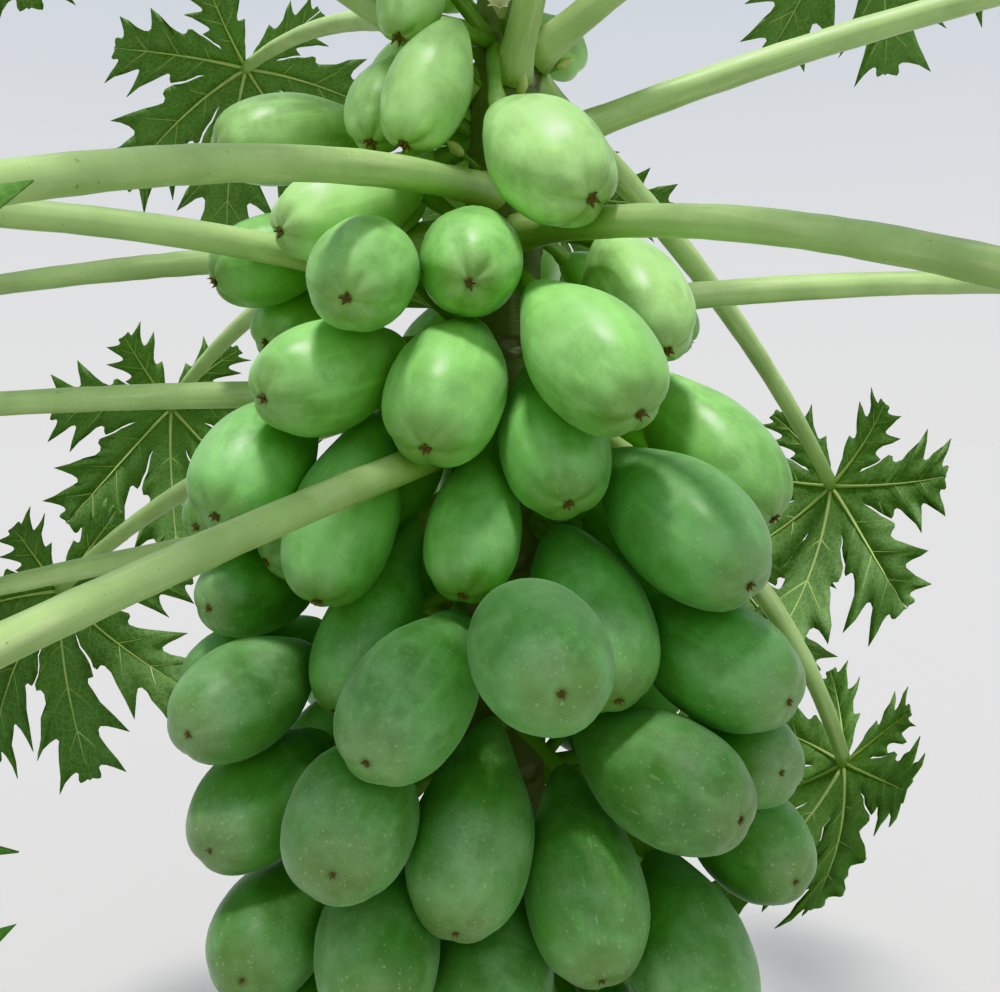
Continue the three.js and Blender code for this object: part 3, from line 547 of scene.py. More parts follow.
def bark_finish():
    """Grey-tan bark that turns dark green from the fruit zone up, its own green together with painted shade from the
    fruit around it, and lighter green at the tip. The leaf scars' floors are paler and corky.
    """
    material, tree, sockets, place = start_finish("trunk_bark_skin")
    crossing = stretched(tree, place, (1.0, 1.0, 5.0))
    lined = layered(tree, place, BARK_TONE, [
        (mottling, {"Shade": BARK_DARK, "Scale": 17.0, "Amount": 0.55}),
        (mottling, {"Place": crossing, "Shade": BARK_PALE, "Scale": 30.0, "Amount": 0.45}),
    ])[-1]
    ragged = clouds(tree, place, 6.0, Detail=4.0).outputs["Fac"]
    spread = node(tree, "ShaderNodeSeparateXYZ", {0: place}).outputs["Z"]
    height = maths(tree, "ADD", spread, maths(tree, "MULTIPLY", ragged, 0.5))
    # From the fruit zone up the bark darkens to green: partly its own colour, partly painted shade from the fruit and
    # leaves round it.
    green_and_shade = ramp(tree, height, SHADE_GREEN_FROM + 0.25, SHADE_GREEN_TO + 0.25)
    colour = mixed(tree, maths(tree, "MULTIPLY", green_and_shade, 0.8), lined["Color"], BARK_GREEN_AND_SHADE)
    colour = mixed(tree, ramp(tree, height, TRUNK_HEIGHT - 0.25, TRUNK_HEIGHT + 0.2), colour, BARK_TIP)
    # A scar's floor is pale, and its edge is dark.
    scar = node(tree, "ShaderNodeAttribute", attribute_name="scar").outputs["Fac"]
    colour = mixed(tree, maths(tree, "MULTIPLY", scar, 0.35), colour, BARK_PALE)
    edge = maths(tree, "MULTIPLY", scar, maths(tree, "SUBTRACT", 1.0, scar))
    colour = mixed(tree, maths(tree, "MULTIPLY", edge, 2.2), colour, BARK_DARK)
    spots = {"Speck Color": BARK_DARK, "Scale": 150.0, "Size": 0.3, "Amount": 0.5}
    dotted = layered(tree, place, colour, [(specks, spots)])[-1]
    tree.links.new(dotted["Color"], sockets["Base Color"])
    roughen(tree, sockets, green_and_shade, 0.82, 0.55)
    cracks = clouds(tree, crossing, 60.0, Detail=6.0).outputs["Fac"]
    raise_bumps(tree, sockets, maths(tree, "ADD", cracks, dotted["Height"]), 0.6, 0.002)
    return material


bark_material = bark_finish()
print("bark finish:", bark_material.name)

# %% Dry remains, petals and buds
DRY_SHADE = (0.2, 0.155, 0.08, 1)
PETAL_TONE, PETAL_SHADE = (0.78, 0.78, 0.56, 1), (0.62, 0.68, 0.3, 1)
BUD_TONE, BUD_SHADE = (0.55, 0.62, 0.26, 1), (0.3, 0.45, 0.12, 1)


def dry_finish():
    """The brown, brittle remains of a blossom."""
    material, tree, sockets, place = start_finish("dry_remains_skin")
    base = layered(tree, place, DRY_TONE, [(mottling, {"Shade": DRY_SHADE, "Scale": 300.0, "Amount": 0.7})])[-1]
    tree.links.new(base["Color"], sockets["Base Color"])
    roughen(tree, sockets, base["Mask"], 0.7, 0.9)
    raise_bumps(tree, sockets, base["Mask"], 0.5, 0.0008)
    return material


def petal_finish(name, tone, shade):
    """Fleshy petals and buds, smooth and a little glossy."""
    material, tree, sockets, place = start_finish(name)
    base, lined = layered(tree, place, tone, [
        (mottling, {"Shade": shade, "Scale": 60.0, "Amount": 0.6}),
        (streaks, {"Streak Color": shade, "Scale": 240.0, "Amount": 0.3}),
    ])
    tree.links.new(lined["Color"], sockets["Base Color"])
    roughen(tree, sockets, base["Mask"], 0.38, 0.5)
    raise_bumps(tree, sockets, lined["Height"], 0.25, 0.0005)
    return material


dry_material = dry_finish()
petal_material = petal_finish("petal_skin", PETAL_TONE, PETAL_SHADE)
bud_material = petal_finish("bud_skin", BUD_TONE, BUD_SHADE)
print("other finishes:", dry_material.name, petal_material.name, bud_material.name)

# %% [markdown]
# ## The trunk
#
# A papaya never makes rough bark. Its trunk is smooth and soft, but every leaf that fell left a shield-shaped scar
# with a raised rim, and the scars follow the spiral. Bump alone would look flat in profile, so the relief is in the
# mesh: a fine grid round the trunk whose points are moved in and out by the flare, the scars and some noise.

# %% Leaf scars as relief
TRUNK_ROWS = 470
TRUNK_COLUMNS = 104
SCAR_WIDTH = 0.4
SCAR_HEIGHT = 0.2
SCAR_LEAST = 0.012
SCAR_RIM = 0.0026
SCAR_DEPTH = 0.0028
SCAR_SPREAD = 0.14
SCARS_FROM, SCARS_BELOW_TIP = 0.03, 0.06


def scar_relief(angle, height, radius):
    """How far each point of the trunk stands out for the scars' rims and floors, and which points are floor."""
    relief, floor = np.zeros_like(radius), np.zeros_like(radius)
    lowest = -math.floor((SPIRAL_LOW - SCARS_FROM) / SPIRAL_STEP)
    highest = math.floor((TRUNK_HEIGHT - SCARS_BELOW_TIP - SPIRAL_LOW) / SPIRAL_STEP)
    for k in range(lowest, highest):
        at = SPIRAL_LOW + k * SPIRAL_STEP
        size = float(trunk_radius(at)) * (1 + SCAR_SPREAD * wobble(k + 0.4))
        half_width, half_height = max(SCAR_LEAST, SCAR_WIDTH * size), max(SCAR_LEAST, SCAR_HEIGHT * size)
        around = np.radians((angle - k * SPIRAL_ANGLE - 4 * wobble(k) + 180) % 360 - 180) * radius
        up = (height - at) / half_height
        # A shield: narrow below, notched above, and a little uneven all round.
        waist = 0.5 + 0.5 * np.clip((up + 1) / 1.5, 0, 1)
        notch = 0.1 * np.exp(-((around / (0.4 * half_width)) ** 2))
        turn = np.arctan2(up, around / half_width)
        uneven = 1 + 0.07 * np.sin(3 * turn + 6 * wobble(k + 0.7)) + 0.04 * np.sin(7 * turn + 6 * wobble(k + 0.9))
        reach = np.hypot(around / (half_width * waist), up + notch * (up > 0)) * uneven
        relief += SCAR_RIM * np.exp(-(((reach - 1) / 0.17) ** 2))
        inside = np.clip((0.95 - reach) / 0.3, 0, 1)
        relief -= SCAR_DEPTH * inside
        floor = np.maximum(floor, inside)
    return relief, floor


print("leaf scars per turn of the spiral:", round(360 / SPIRAL_ANGLE, 2))

# %% Build the trunk
BARK_LUMPS = [(0.0016, 14, 22), (0.0007, 60, 150)]
FOOT_FADE, TIP_FADE = 0.02, 0.03


def build_trunk():
    rows = TRUNK_HEIGHT * np.linspace(0, 1, TRUNK_ROWS)
    columns = 360 * np.arange(TRUNK_COLUMNS) / TRUNK_COLUMNS
    height, angle = np.meshgrid(rows, columns, indexing="ij")
    flare = FLARE_REACH * np.exp(-height / FLARE_HEIGHT)
    # The buttresses of the model start at its own +X side and turn the other way.
    buttress = np.cos(FLARE_BUTTRESSES * np.radians(90 - angle))
    radius = trunk_radius(height) + flare * (1 + FLARE_WAVE * buttress)
    relief, floor = scar_relief(angle, height, radius)
    turn = np.radians(angle)
    out = np.stack([np.sin(turn), -np.cos(turn)], axis=-1)
    rough = np.zeros_like(radius)
    for row in range(TRUNK_ROWS):
        for column in range(TRUNK_COLUMNS):
            x, y = out[row, column] * radius[row, column]
            for size, across, up in BARK_LUMPS:
                rough[row, column] += size * noise.noise(Vector((x * across, y * across, rows[row] * up)))
    # The foot stays flat and inside its own outline at the ground, and the tip closes into the growing point.
    fade = np.clip(height / FOOT_FADE, 0, 1) * np.clip((TRUNK_HEIGHT - height) / TIP_FADE, 0, 1)
    radius = radius + (relief + rough) * fade
    lean = TRUNK_LEAN * (height / TRUNK_HEIGHT) ** 2
    points = np.stack([lean + out[..., 0] * radius, out[..., 1] * radius, height], axis=-1).reshape(-1, 3)
    points = np.concatenate([points, [[0, 0, 0]], [trunk_middle(TRUNK_HEIGHT)]])
    gathered = Gatherer()
    gathered.add(points, tube_faces(TRUNK_ROWS, TRUNK_COLUMNS), points)
    piece = gathered.build("trunk_bark", [bark_material])
    marks = piece.data.attributes.new("scar", "FLOAT", "POINT")
    marks.data.foreach_set("value", np.append(floor.ravel(), [0, 0]).astype(np.float32))
    return piece


trunk_bark = build_trunk()
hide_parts("trunk")

# %% [markdown]
# ## Leaf stalks
#
# The old leaves leave the trunk level or sagging and the young ones rise steeply. Each stalk is an arc of steady
# curvature, as stiff and hollow stalks are, with a swollen foot that clasps the trunk. The table is the tree's own:
# one row a leaf, from the oldest to the youngest.

# %% The leaves and the arc of a stalk
# Compass angle, height of the foot, rise there and sag along the stalk in degrees, its length, the blade's radius.
LEAVES = [
    (-98, 1.175, -7, 8, 0.9, 0.27),
    (-24, 1.258, -8, 6, 1.0, 0.285),
    (104, 1.31, -20, 52, 0.7, 0.25),
    (-117, 1.31, -4, 34, 0.82, 0.275),
    (-86, 1.3, 2, 10, 1.01, 0.29),
    (150, 1.34, -6, 30, 0.86, 0.285),
    (93, 1.392, 9, 14, 0.96, 0.29),
    (-63, 1.4, 15, 30, 1.01, 0.29),
    (-172, 1.43, 6, 26, 0.88, 0.3),
    (28, 1.488, -3, 23, 0.96, 0.29),
    (-97, 1.47, 2, 12, 0.88, 0.29),
    (-136, 1.5, 8, 42, 0.88, 0.29),
    (-24, 1.535, -4, 20, 1.01, 0.29),
    (84, 1.578, 21, 14, 0.98, 0.31),
    (174, 1.59, 20, 22, 0.9, 0.31),
    (125, 1.69, -28, 24, 0.8, 0.28),
    (-84, 1.63, 40, 26, 0.84, 0.3),
    (15, 1.64, 42, 26, 0.84, 0.3),
    (62, 1.668, 32, 24, 0.92, 0.31),
    (-146, 1.7, 30, 30, 0.88, 0.31),
    (-14, 1.77, 46, 30, 0.86, 0.31),
    (-112, 1.81, 38, 28, 0.9, 0.31),
    (134, 1.82, 38, 28, 0.9, 0.31),
    (34, 1.88, 54, 30, 0.82, 0.3),
    (-58, 1.9, 54, 28, 0.82, 0.3),
    (-168, 1.95, 58, 26, 0.78, 0.3),
    (92, 1.985, 60, 26, 0.74, 0.29),
]
BUD_HEIGHT = 0.074
YOUNG_FOOT = TRUNK_HEIGHT + 0.4 * BUD_HEIGHT
YOUNG_LEAVES = [
    (-28, YOUNG_FOOT, 66, 20, 0.56, 0.23),
    (170, YOUNG_FOOT, 72, 16, 0.44, 0.185),
    (50, YOUNG_FOOT, 80, 8, 0.28, 0.11),
]
STALK_FOOT_RADIUS, STALK_TIP_RADIUS = 0.017, 0.01
YOUNG_STALK_RADIUS = 0.008
CLASP_REACH, CLASP_EXTRA = 0.03, 0.009
STALK_UNEVEN = 0.0004
STALK_RIBS, STALK_RIB_RISE = 3, 0.006
STALK_STEPS, STALK_SIDES = 44, 14


def stalk_line(leaf, steps=STALK_STEPS):
    """Points along a leaf's stalk, an arc from the middle of the trunk."""
    angle, height, rise, sag, length, _ = leaf
    bend, start = math.radians(sag) / length, math.radians(rise)
    s = np.linspace(0, length, steps + 1)
    out = (math.sin(start) - np.sin(start - bend * s)) / bend
    up = (np.cos(start - bend * s) - math.cos(start)) / bend
    return trunk_middle(height) + out[:, None] * heading(angle) + up[:, None] * np.array([0, 0, 1.0])


def stalk_radii(leaf, young):
    """Radius of the stalk at each step: slim at the blade, swollen at the foot, faintly uneven between."""
    s = np.linspace(0, 1, STALK_STEPS + 1)
    if young:
        return YOUNG_STALK_RADIUS * (1 - 0.4 * s)
    slim = STALK_FOOT_RADIUS + (STALK_TIP_RADIUS - STALK_FOOT_RADIUS) * s**1.5
    clasp = CLASP_EXTRA * np.exp(-np.maximum(0, s * leaf[4] - TRUNK_FOOT_RADIUS / 2) / CLASP_REACH)
    uneven = [STALK_UNEVEN * wobble(leaf[0] + 0.31 * i) for i in range(STALK_STEPS + 1)]
    return slim + clasp + np.array(uneven)


def build_leaf_stalks():
    gathered = Gatherer()
    for number, leaf in enumerate(LEAVES + YOUNG_LEAVES):
        young = number >= len(LEAVES)
        line, radii = stalk_line(leaf), stalk_radii(leaf, young)
        if not young:
            # The part inside the trunk is left out.
            keep = np.linalg.norm((line - line[0])[:, :2], axis=1) > 0.5 * float(trunk_radius(leaf[1]))
            line, radii = line[keep], radii[keep]
        around = np.arange(STALK_SIDES) * 2 * np.pi / STALK_SIDES
        ribbed = radii[:, None] * (1 + STALK_RIB_RISE * np.cos(STALK_RIBS * around + number)[None, :])
        gathered.add_ring_skin(line, ribbed, STALK_SIDES, [0, 0, 3 * number], 1 if young else 0)
    return gathered.build("leaf_stalks", [leaf_stalk_material, young_stalk_material])


leaf_stalks = build_leaf_stalks()

# %% [markdown]
# ## Leaf blades
#
# A papaya leaf is cut like an open hand, and each finger is cut again into pointed side lobes. An image with
# transparency would be the quick way, but a real outline casts a real shadow and survives any export. So each finger
# is two strips of mesh, one on each side of its rib. The crossings of a strip run the way the side veins run,
# forwards and outwards, so that a simple wave in the strip's width turns into lobes that point forwards. Near the
# stalk the width is held to the line midway between two fingers, and there the strips of neighbours join.

# %% Outline of a finger
FINGER_ANGLES = np.array([-140, -92, -45, 0, 45, 92, 140], float)
FINGER_LENGTHS = np.array([0.55, 0.8, 0.95, 1, 0.95, 0.8, 0.55])
# Half the angle between the two last fingers, measured from the middle one the long way round.
BASE_GAP_ANGLE = 166
SINUS_REACH = 0.245
BASE_SINUS_REACH = 0.13
VEIN_TURN = (58, 36)
SIDE_LOBES = 3
LOBES_END = 0.87
CUT_DEPTH = 0.54
FINGER_WIDTH = 0.44
JOINED_ROWS = 4
ROWS_PER_LOBE = 8
TIP_ROWS = 5
ROW_SPLITS = 2


def finger_width(t, begin, half_gap, turn, length):
    """Width of a strip along its veins at a share t of the finger, as a share of the blade's radius."""
    bisector = t * length * math.sin(half_gap) / max(0.05, math.sin(turn - half_gap))
    phase = (t - begin) / (LOBES_END - begin) * SIDE_LOBES
    full = math.sin(math.pi * min(1.0, 0.12 + 0.88 * t) ** 1.25) ** 0.75
    envelope = FINGER_WIDTH * length * full
    if t < LOBES_END:
        tooth = 1 - abs(math.cos(math.pi * phase))
        lobed = envelope * (1 - CUT_DEPTH + CUT_DEPTH * tooth)
    else:
        end = (t - LOBES_END) / (1 - LOBES_END)
        lobed = envelope * (1 - CUT_DEPTH) + 0.05 * length * math.sin(math.pi * end)
        lobed *= 1 - end**2
    return min(lobed, 0.94 * bisector) if t > begin else bisector


def finger_rows(side_gap, reach, length):
    """The rows of one side of a finger: where each starts on the rib, its width and the turn of its vein."""
    half_gap = math.radians(side_gap)
    rows = []
    first_turn = math.radians(VEIN_TURN[0])
    begin = reach * math.sin(first_turn - half_gap) / math.sin(first_turn) / length
    for i in range(JOINED_ROWS + 1):
        t = begin * i / JOINED_ROWS
        width = reach * i / JOINED_ROWS * math.sin(half_gap) / math.sin(first_turn)
        rows.append((t, width, first_turn))
    steps = SIDE_LOBES * ROWS_PER_LOBE
    shares = [begin + (LOBES_END - begin) * (i + 1) / steps for i in range(steps)]
    shares += [LOBES_END + (1 - LOBES_END) * (i + 1) / TIP_ROWS for i in range(TIP_ROWS)]
    for t in shares:
        turn = math.radians(VEIN_TURN[0] + (VEIN_TURN[1] - VEIN_TURN[0]) * t)
        rows.append((t, finger_width(t, begin, half_gap, turn, length), turn))
    return rows


print("rows on one side of a finger:", len(finger_rows(22.5, SINUS_REACH, 1.0)))

# %% The blade's form in space
BLADE_NOD = 48
BLADE_SAG = 0.34
FOLD = 0.2
CURL = 0.55
RIPPLE = 0.012
FINGER_BEND = 0.16
FINGER_HANG, HANG_FROM = 0.06, 0.25


def finger_gaps(i):
    """Half the angle to the next finger on each side, in degrees, and how far out the two sides join."""
    gaps, reaches = [], []
    for side, neighbour in [(-1, i - 1), (1, i + 1)]:
        if 0 <= neighbour < len(FINGER_ANGLES):
            gaps.append(abs(FINGER_ANGLES[neighbour] - FINGER_ANGLES[i]) / 2)
            reaches.append(SINUS_REACH * (FINGER_LENGTHS[i] + FINGER_LENGTHS[neighbour]) / 1.8)
        else:
            gaps.append(BASE_GAP_ANGLE - abs(FINGER_ANGLES[i]))
            reaches.append(BASE_SINUS_REACH)
    return gaps, reaches


def blade_place(leaf, seed):
    """A function that takes flat places on a blade, as shares of its radius, to where they are on the tree."""
    angle, _, rise, sag, _, radius = leaf
    tilt = rise - sag - BLADE_NOD
    ahead = heading(angle, tilt)
    side = np.cross([0, 0, 1.0], heading(angle))
    up = np.cross(ahead, side)
    centre = stalk_line(leaf, 4)[-1]

    def place(flat, lower=0.0):
        x, y = flat[..., 0], flat[..., 1]
        turned = np.degrees(np.arctan2(y, x))[..., None] - FINGER_ANGLES
        off = np.radians(np.minimum(np.abs(turned).min(-1), 60))
        reach = np.hypot(x, y)
        across = reach * np.sin(off)
        finger = np.abs(turned).argmin(-1)
        hang = np.array([FINGER_HANG * wobble(seed + 0.37 * k) for k in range(len(FINGER_ANGLES))])[finger]
        lift = FOLD * across - CURL * across**2 - BLADE_SAG * reach**2
        lift += hang * np.maximum(0, reach - HANG_FROM) ** 2
        lift += RIPPLE * np.sin(38 * reach + 3 * seed) * np.minimum(1, 8 * across) * np.minimum(1, 3 * reach)
        local = np.stack([x, y, lift - np.asarray(lower) / radius], axis=-1) * radius
        return centre + local[..., 0:1] * ahead + local[..., 1:2] * side + local[..., 2:3] * up

    return place


def finger_bend(seed, i, t, begin):
    """How far a finger has bent sideways at a share of its length, in radians."""
    return FINGER_BEND * wobble(seed + 1.7 * i) * max(0.0, t - begin) ** 1.5


print("half angles to the next fingers:", finger_gaps(0)[0], finger_gaps(3)[0])


# %% Build the blades
RIB_FOOT_RADIUS, RIB_TIP_RADIUS = 0.0038, 0.0007
VEIN_FOOT_RADIUS, VEIN_TIP_RADIUS = 0.0013, 0.0004
BLADE_THICKNESS = 0.001
WELD_WITHIN = 0.00025


def turned_by(flat, angle):
    """Flat places turned about the blade's middle, in radians."""
    cos, sin = np.cos(angle), np.sin(angle)
    return np.stack([flat[..., 0] * cos - flat[..., 1] * sin, flat[..., 0] * sin + flat[..., 1] * cos], axis=-1)


def strip(seed, i, side, rows):
    """The flat grid of one side of a finger, from its rib outwards."""
    length = FINGER_LENGTHS[i]
    begin = rows[JOINED_ROWS][0]
    grid = []
    for t, width, turn in rows:
        shares = np.linspace(0, 1, ROW_SPLITS + 1)
        x = t * length + shares * width * math.cos(turn)
        y = side * shares * width * math.sin(turn)
        flat = np.stack([x, y], axis=-1)
        grid.append(turned_by(flat, math.radians(FINGER_ANGLES[i]) + finger_bend(seed, i, t, begin)))
    return np.array(grid)


def build_blades():
    blades, ribs = Gatherer(), Gatherer()
    for number, leaf in enumerate(LEAVES + YOUNG_LEAVES):
        seed = 5.3 * number + 1
        place = blade_place(leaf, seed)
        radius = leaf[5]
        young = number >= len(LEAVES)
        tone = 3 if young else min(2, (number * 7) % 5 // 2 + (number > 20))
        size = radius / 0.3
        for i, length in enumerate(FINGER_LENGTHS):
            gaps, reaches = finger_gaps(i)
            for side, gap, reach in zip((-1, 1), gaps, reaches):
                rows = finger_rows(gap, reach, length)
                grid = strip(seed, i, side, rows)
                quads = grid_quads(*grid.shape[:2])
                if side < 0:
                    quads = quads[:, ::-1]
                flat = grid.reshape(-1, 2) * radius
                own = np.concatenate([flat, np.full((len(flat), 1), 0.9 * number)], axis=1)
                blades.add(place(grid).reshape(-1, 3), quads.tolist(), own, tone)
                add_side_veins(ribs, place, grid, size, own)
            add_rib(ribs, place, seed, i, finger_rows(gaps[1], reaches[1], length), size)
    sheet = blades.build("leaf_blades", leaf_materials)
    return sheet, ribs.build("leaf_ribs", [rib_material])


def add_rib(ribs, place, seed, i, rows, size):
    """The pale rib along the middle of a finger, which stands out more below than above."""
    begin = rows[JOINED_ROWS][0]
    shares = np.array([row[0] for row in rows[::2]])
    turns = np.array([math.radians(FINGER_ANGLES[i]) + finger_bend(seed, i, t, begin) for t in shares])
    flat = turned_by(np.stack([shares * FINGER_LENGTHS[i], 0 * shares], axis=-1), turns)
    radii = size * (RIB_FOOT_RADIUS + (RIB_TIP_RADIUS - RIB_FOOT_RADIUS) * shares**0.7)
    ribs.add_ring_skin(place(flat, 0.5 * radii), radii, 6, [0, 0, 2 * i])


def add_side_veins(ribs, place, grid, size, own):
    """A thin vein from the rib to the point of each side lobe, through the blade's own points."""
    for lobe in range(SIDE_LOBES):
        row = JOINED_ROWS + ROWS_PER_LOBE * lobe + ROWS_PER_LOBE // 2
        flat = np.array([*grid[row][:-1], 0.12 * grid[row][-2] + 0.88 * grid[row][-1]])
        radii = size * np.linspace(VEIN_FOOT_RADIUS, VEIN_TIP_RADIUS, len(flat))
        ribs.add_ring_skin(place(flat, 0.4 * radii), radii, 4, own[0])


leaf_blades, leaf_ribs = build_blades()

# %% Join the strips and give them thickness


def weld(piece, distance):
    """Joins points that lie together."""
    bpy.context.view_layer.objects.active = piece
    merge = piece.modifiers.new("merge", "WELD")
    merge.merge_threshold = distance
    bpy.ops.object.modifier_apply(modifier=merge.name)
    print(piece.name, "has", len(piece.data.vertices), "points after welding")


weld(leaf_blades, WELD_WITHIN)
thicken(leaf_blades, BLADE_THICKNESS, len(LEAF_TONES))
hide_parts(*[name for name in node_names if name.startswith("leaf_")])

# %% [markdown]
# ## Reading the fruit off the model
#
# The fruit push each other aside as they swell, so no simple rule says where each one ended up. The model knows:
# every fruit there is a seven-sided skin whose rings lie at set shares of its length. Its blossom end is the only
# kind of point where exactly seven faces meet, all seven edges the same length. From that point and the ring next to
# it come the fruit's direction and length, and from the other rings its width and how long its neck is.

# %% Measure each fruit
MODEL_SIDES = 7
RING_SHARES = (0.34, 0.66, 0.91)
FRUIT_WIDEST = (0.54, 0.68)
FRUIT_SHOULDER = (0.52, 0.85)
FRUIT_END = 2.3
SAME_POINT = 1e-5
SAME_EDGE = 3e-4
SAME_LEVEL, SAME_WAY = 3e-4, 0.9998
NECK_STEPS = 51


def girth(share, neck):
    """Radius of a fruit at a share of its length, as a share of its greatest radius."""
    share = np.clip(share, 0, 1)
    widest = FRUIT_WIDEST[0] + (FRUIT_WIDEST[1] - FRUIT_WIDEST[0]) * neck
    shoulder = FRUIT_SHOULDER[0] + (FRUIT_SHOULDER[1] - FRUIT_SHOULDER[0]) * neck
    beyond = np.maximum(0, share - widest) / (1 - widest)
    upper = np.sin(np.pi / 2 * np.minimum(1, share / widest)) ** shoulder
    return upper * np.maximum(0, 1 - beyond**FRUIT_END) ** (1 / FRUIT_END)


def welded_mesh(name):
    """Points and triangles of a model node, with points that coincide made one."""
    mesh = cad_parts[name].data
    places = np.array([v.co for v in mesh.vertices])
    keys, index = np.unique(np.round(places / SAME_POINT).astype(int), axis=0, return_inverse=True)
    triangles = np.array([p.vertices[:] for p in mesh.polygons])
    return keys * SAME_POINT, index.reshape(-1)[triangles]


def measured_fruit(points, tip, ring):
    """One fruit from its blossom end and the ring next to it."""
    centre = points[ring].mean(0)
    axis = unit(points[tip] - centre)
    length = np.linalg.norm(points[tip] - centre) / (1 - RING_SHARES[-1])
    spokes = unit(points[ring] - centre)
    radii = []
    for share in RING_SHARES:
        away = points - (points[tip] - (1 - share) * length * axis)
        reach = np.linalg.norm(away, axis=1)
        level = np.abs(away @ axis) < SAME_LEVEL
        facing = (unit(away) @ spokes.T).max(axis=1) > SAME_WAY
        radii.append(np.median(reach[level & facing]) if (level & facing).any() else np.nan)
    radii = np.array(radii)
    # Of all neck lengths, the one whose girths fit the measured radii best is taken.
    necks = np.linspace(0, 1, NECK_STEPS)
    models = np.array([[float(girth(s, neck)) for s in RING_SHARES] for neck in necks])
    scales = np.nanmean(radii / models, axis=1)
    best = int(np.nanargmin(np.nansum((radii / models - scales[:, None]) ** 2, axis=1)))
    stem = points[tip] - length * axis
    return {"axis": axis, "length": length, "radius": scales[best], "neck": necks[best], "stem": stem}


def read_bunch(name):
    """All fruit of one bunch."""
    points, triangles = welded_mesh(name)
    meeting = np.bincount(triangles.ravel(), minlength=len(points))
    bunch = []
    for tip in np.flatnonzero(meeting == MODEL_SIDES):
        ring = np.setdiff1d(triangles[(triangles == tip).any(1)].ravel(), [tip])
        edges = np.linalg.norm(points[ring] - points[tip], axis=1)
        if len(ring) == MODEL_SIDES and np.ptp(edges) < SAME_EDGE:
            bunch.append(measured_fruit(points, tip, ring))
    return bunch


bunch_names = [name for name in node_names if name.startswith("fruit_bunch")]
bunches = [read_bunch(name) for name in bunch_names]
fruit = [f for bunch in bunches for f in bunch]
lengths = [round(float(f["length"]), 3) for f in fruit]
print("fruit measured:", len(fruit), "lengths:", min(lengths), "to", max(lengths))

# %% [markdown]
# ## Fruit skins
#
# A papaya is nearly round in section, with five faint ribs left from its five seed walls. They draw together into a
# blunt star at the blossom end and into shoulders at the stalk. Each fruit is one ring skin, with its rings closer
# together towards both ends, where the form turns fastest.

# %% Build the fruit
FRUIT_SIDES, FRUIT_RINGS = 35, 30
RINGS_SPAN = (0.02, 0.993)
# How far the ribs stand out at the middle and at the tip, as a share of the radius there, and at the shoulder.
RIB_OLD, RIB_YOUNG = (0.01, 0.05), (0.022, 0.12)
RIB_SHOULDER = 0.03
GROOVE_OLD, GROOVE_YOUNG = 0.0012, 0.0042
GROOVE_FULL_RADIUS = 0.05
TIP_HOLLOW, HOLLOW_WIDTH = 0.002, 0.2
TIP_FROM, TIP_LONG = 0.7, 0.3
SHOULDER_LONG = 0.25
YOUNG_FROM, YOUNG_TO = 1.1, 1.65
PINCH, NECK_PINCH = 0.05, 0.16
PINCH_AT, PINCH_LONG = 0.2, 0.18
BOW = 0.02
SWELL = 0.03
# Heights above which fruit take the next, paler tone: partly their age, partly painted light on the upper fruit.
AGE_AND_PAINTED_LIGHT_HEIGHTS = (1.03, 1.2, 1.33, 1.5)


def fruit_tone_with_painted_light(number, f):
    """Fruit get paler towards the top, with a little chance between neighbours: they are younger there, and the paler
    tone is also painted light on the upper fruit.
    """
    height = f["stem"][2] + 0.06 * wobble(number + 0.83)
    return int(np.searchsorted(AGE_AND_PAINTED_LIGHT_HEIGHTS, height))


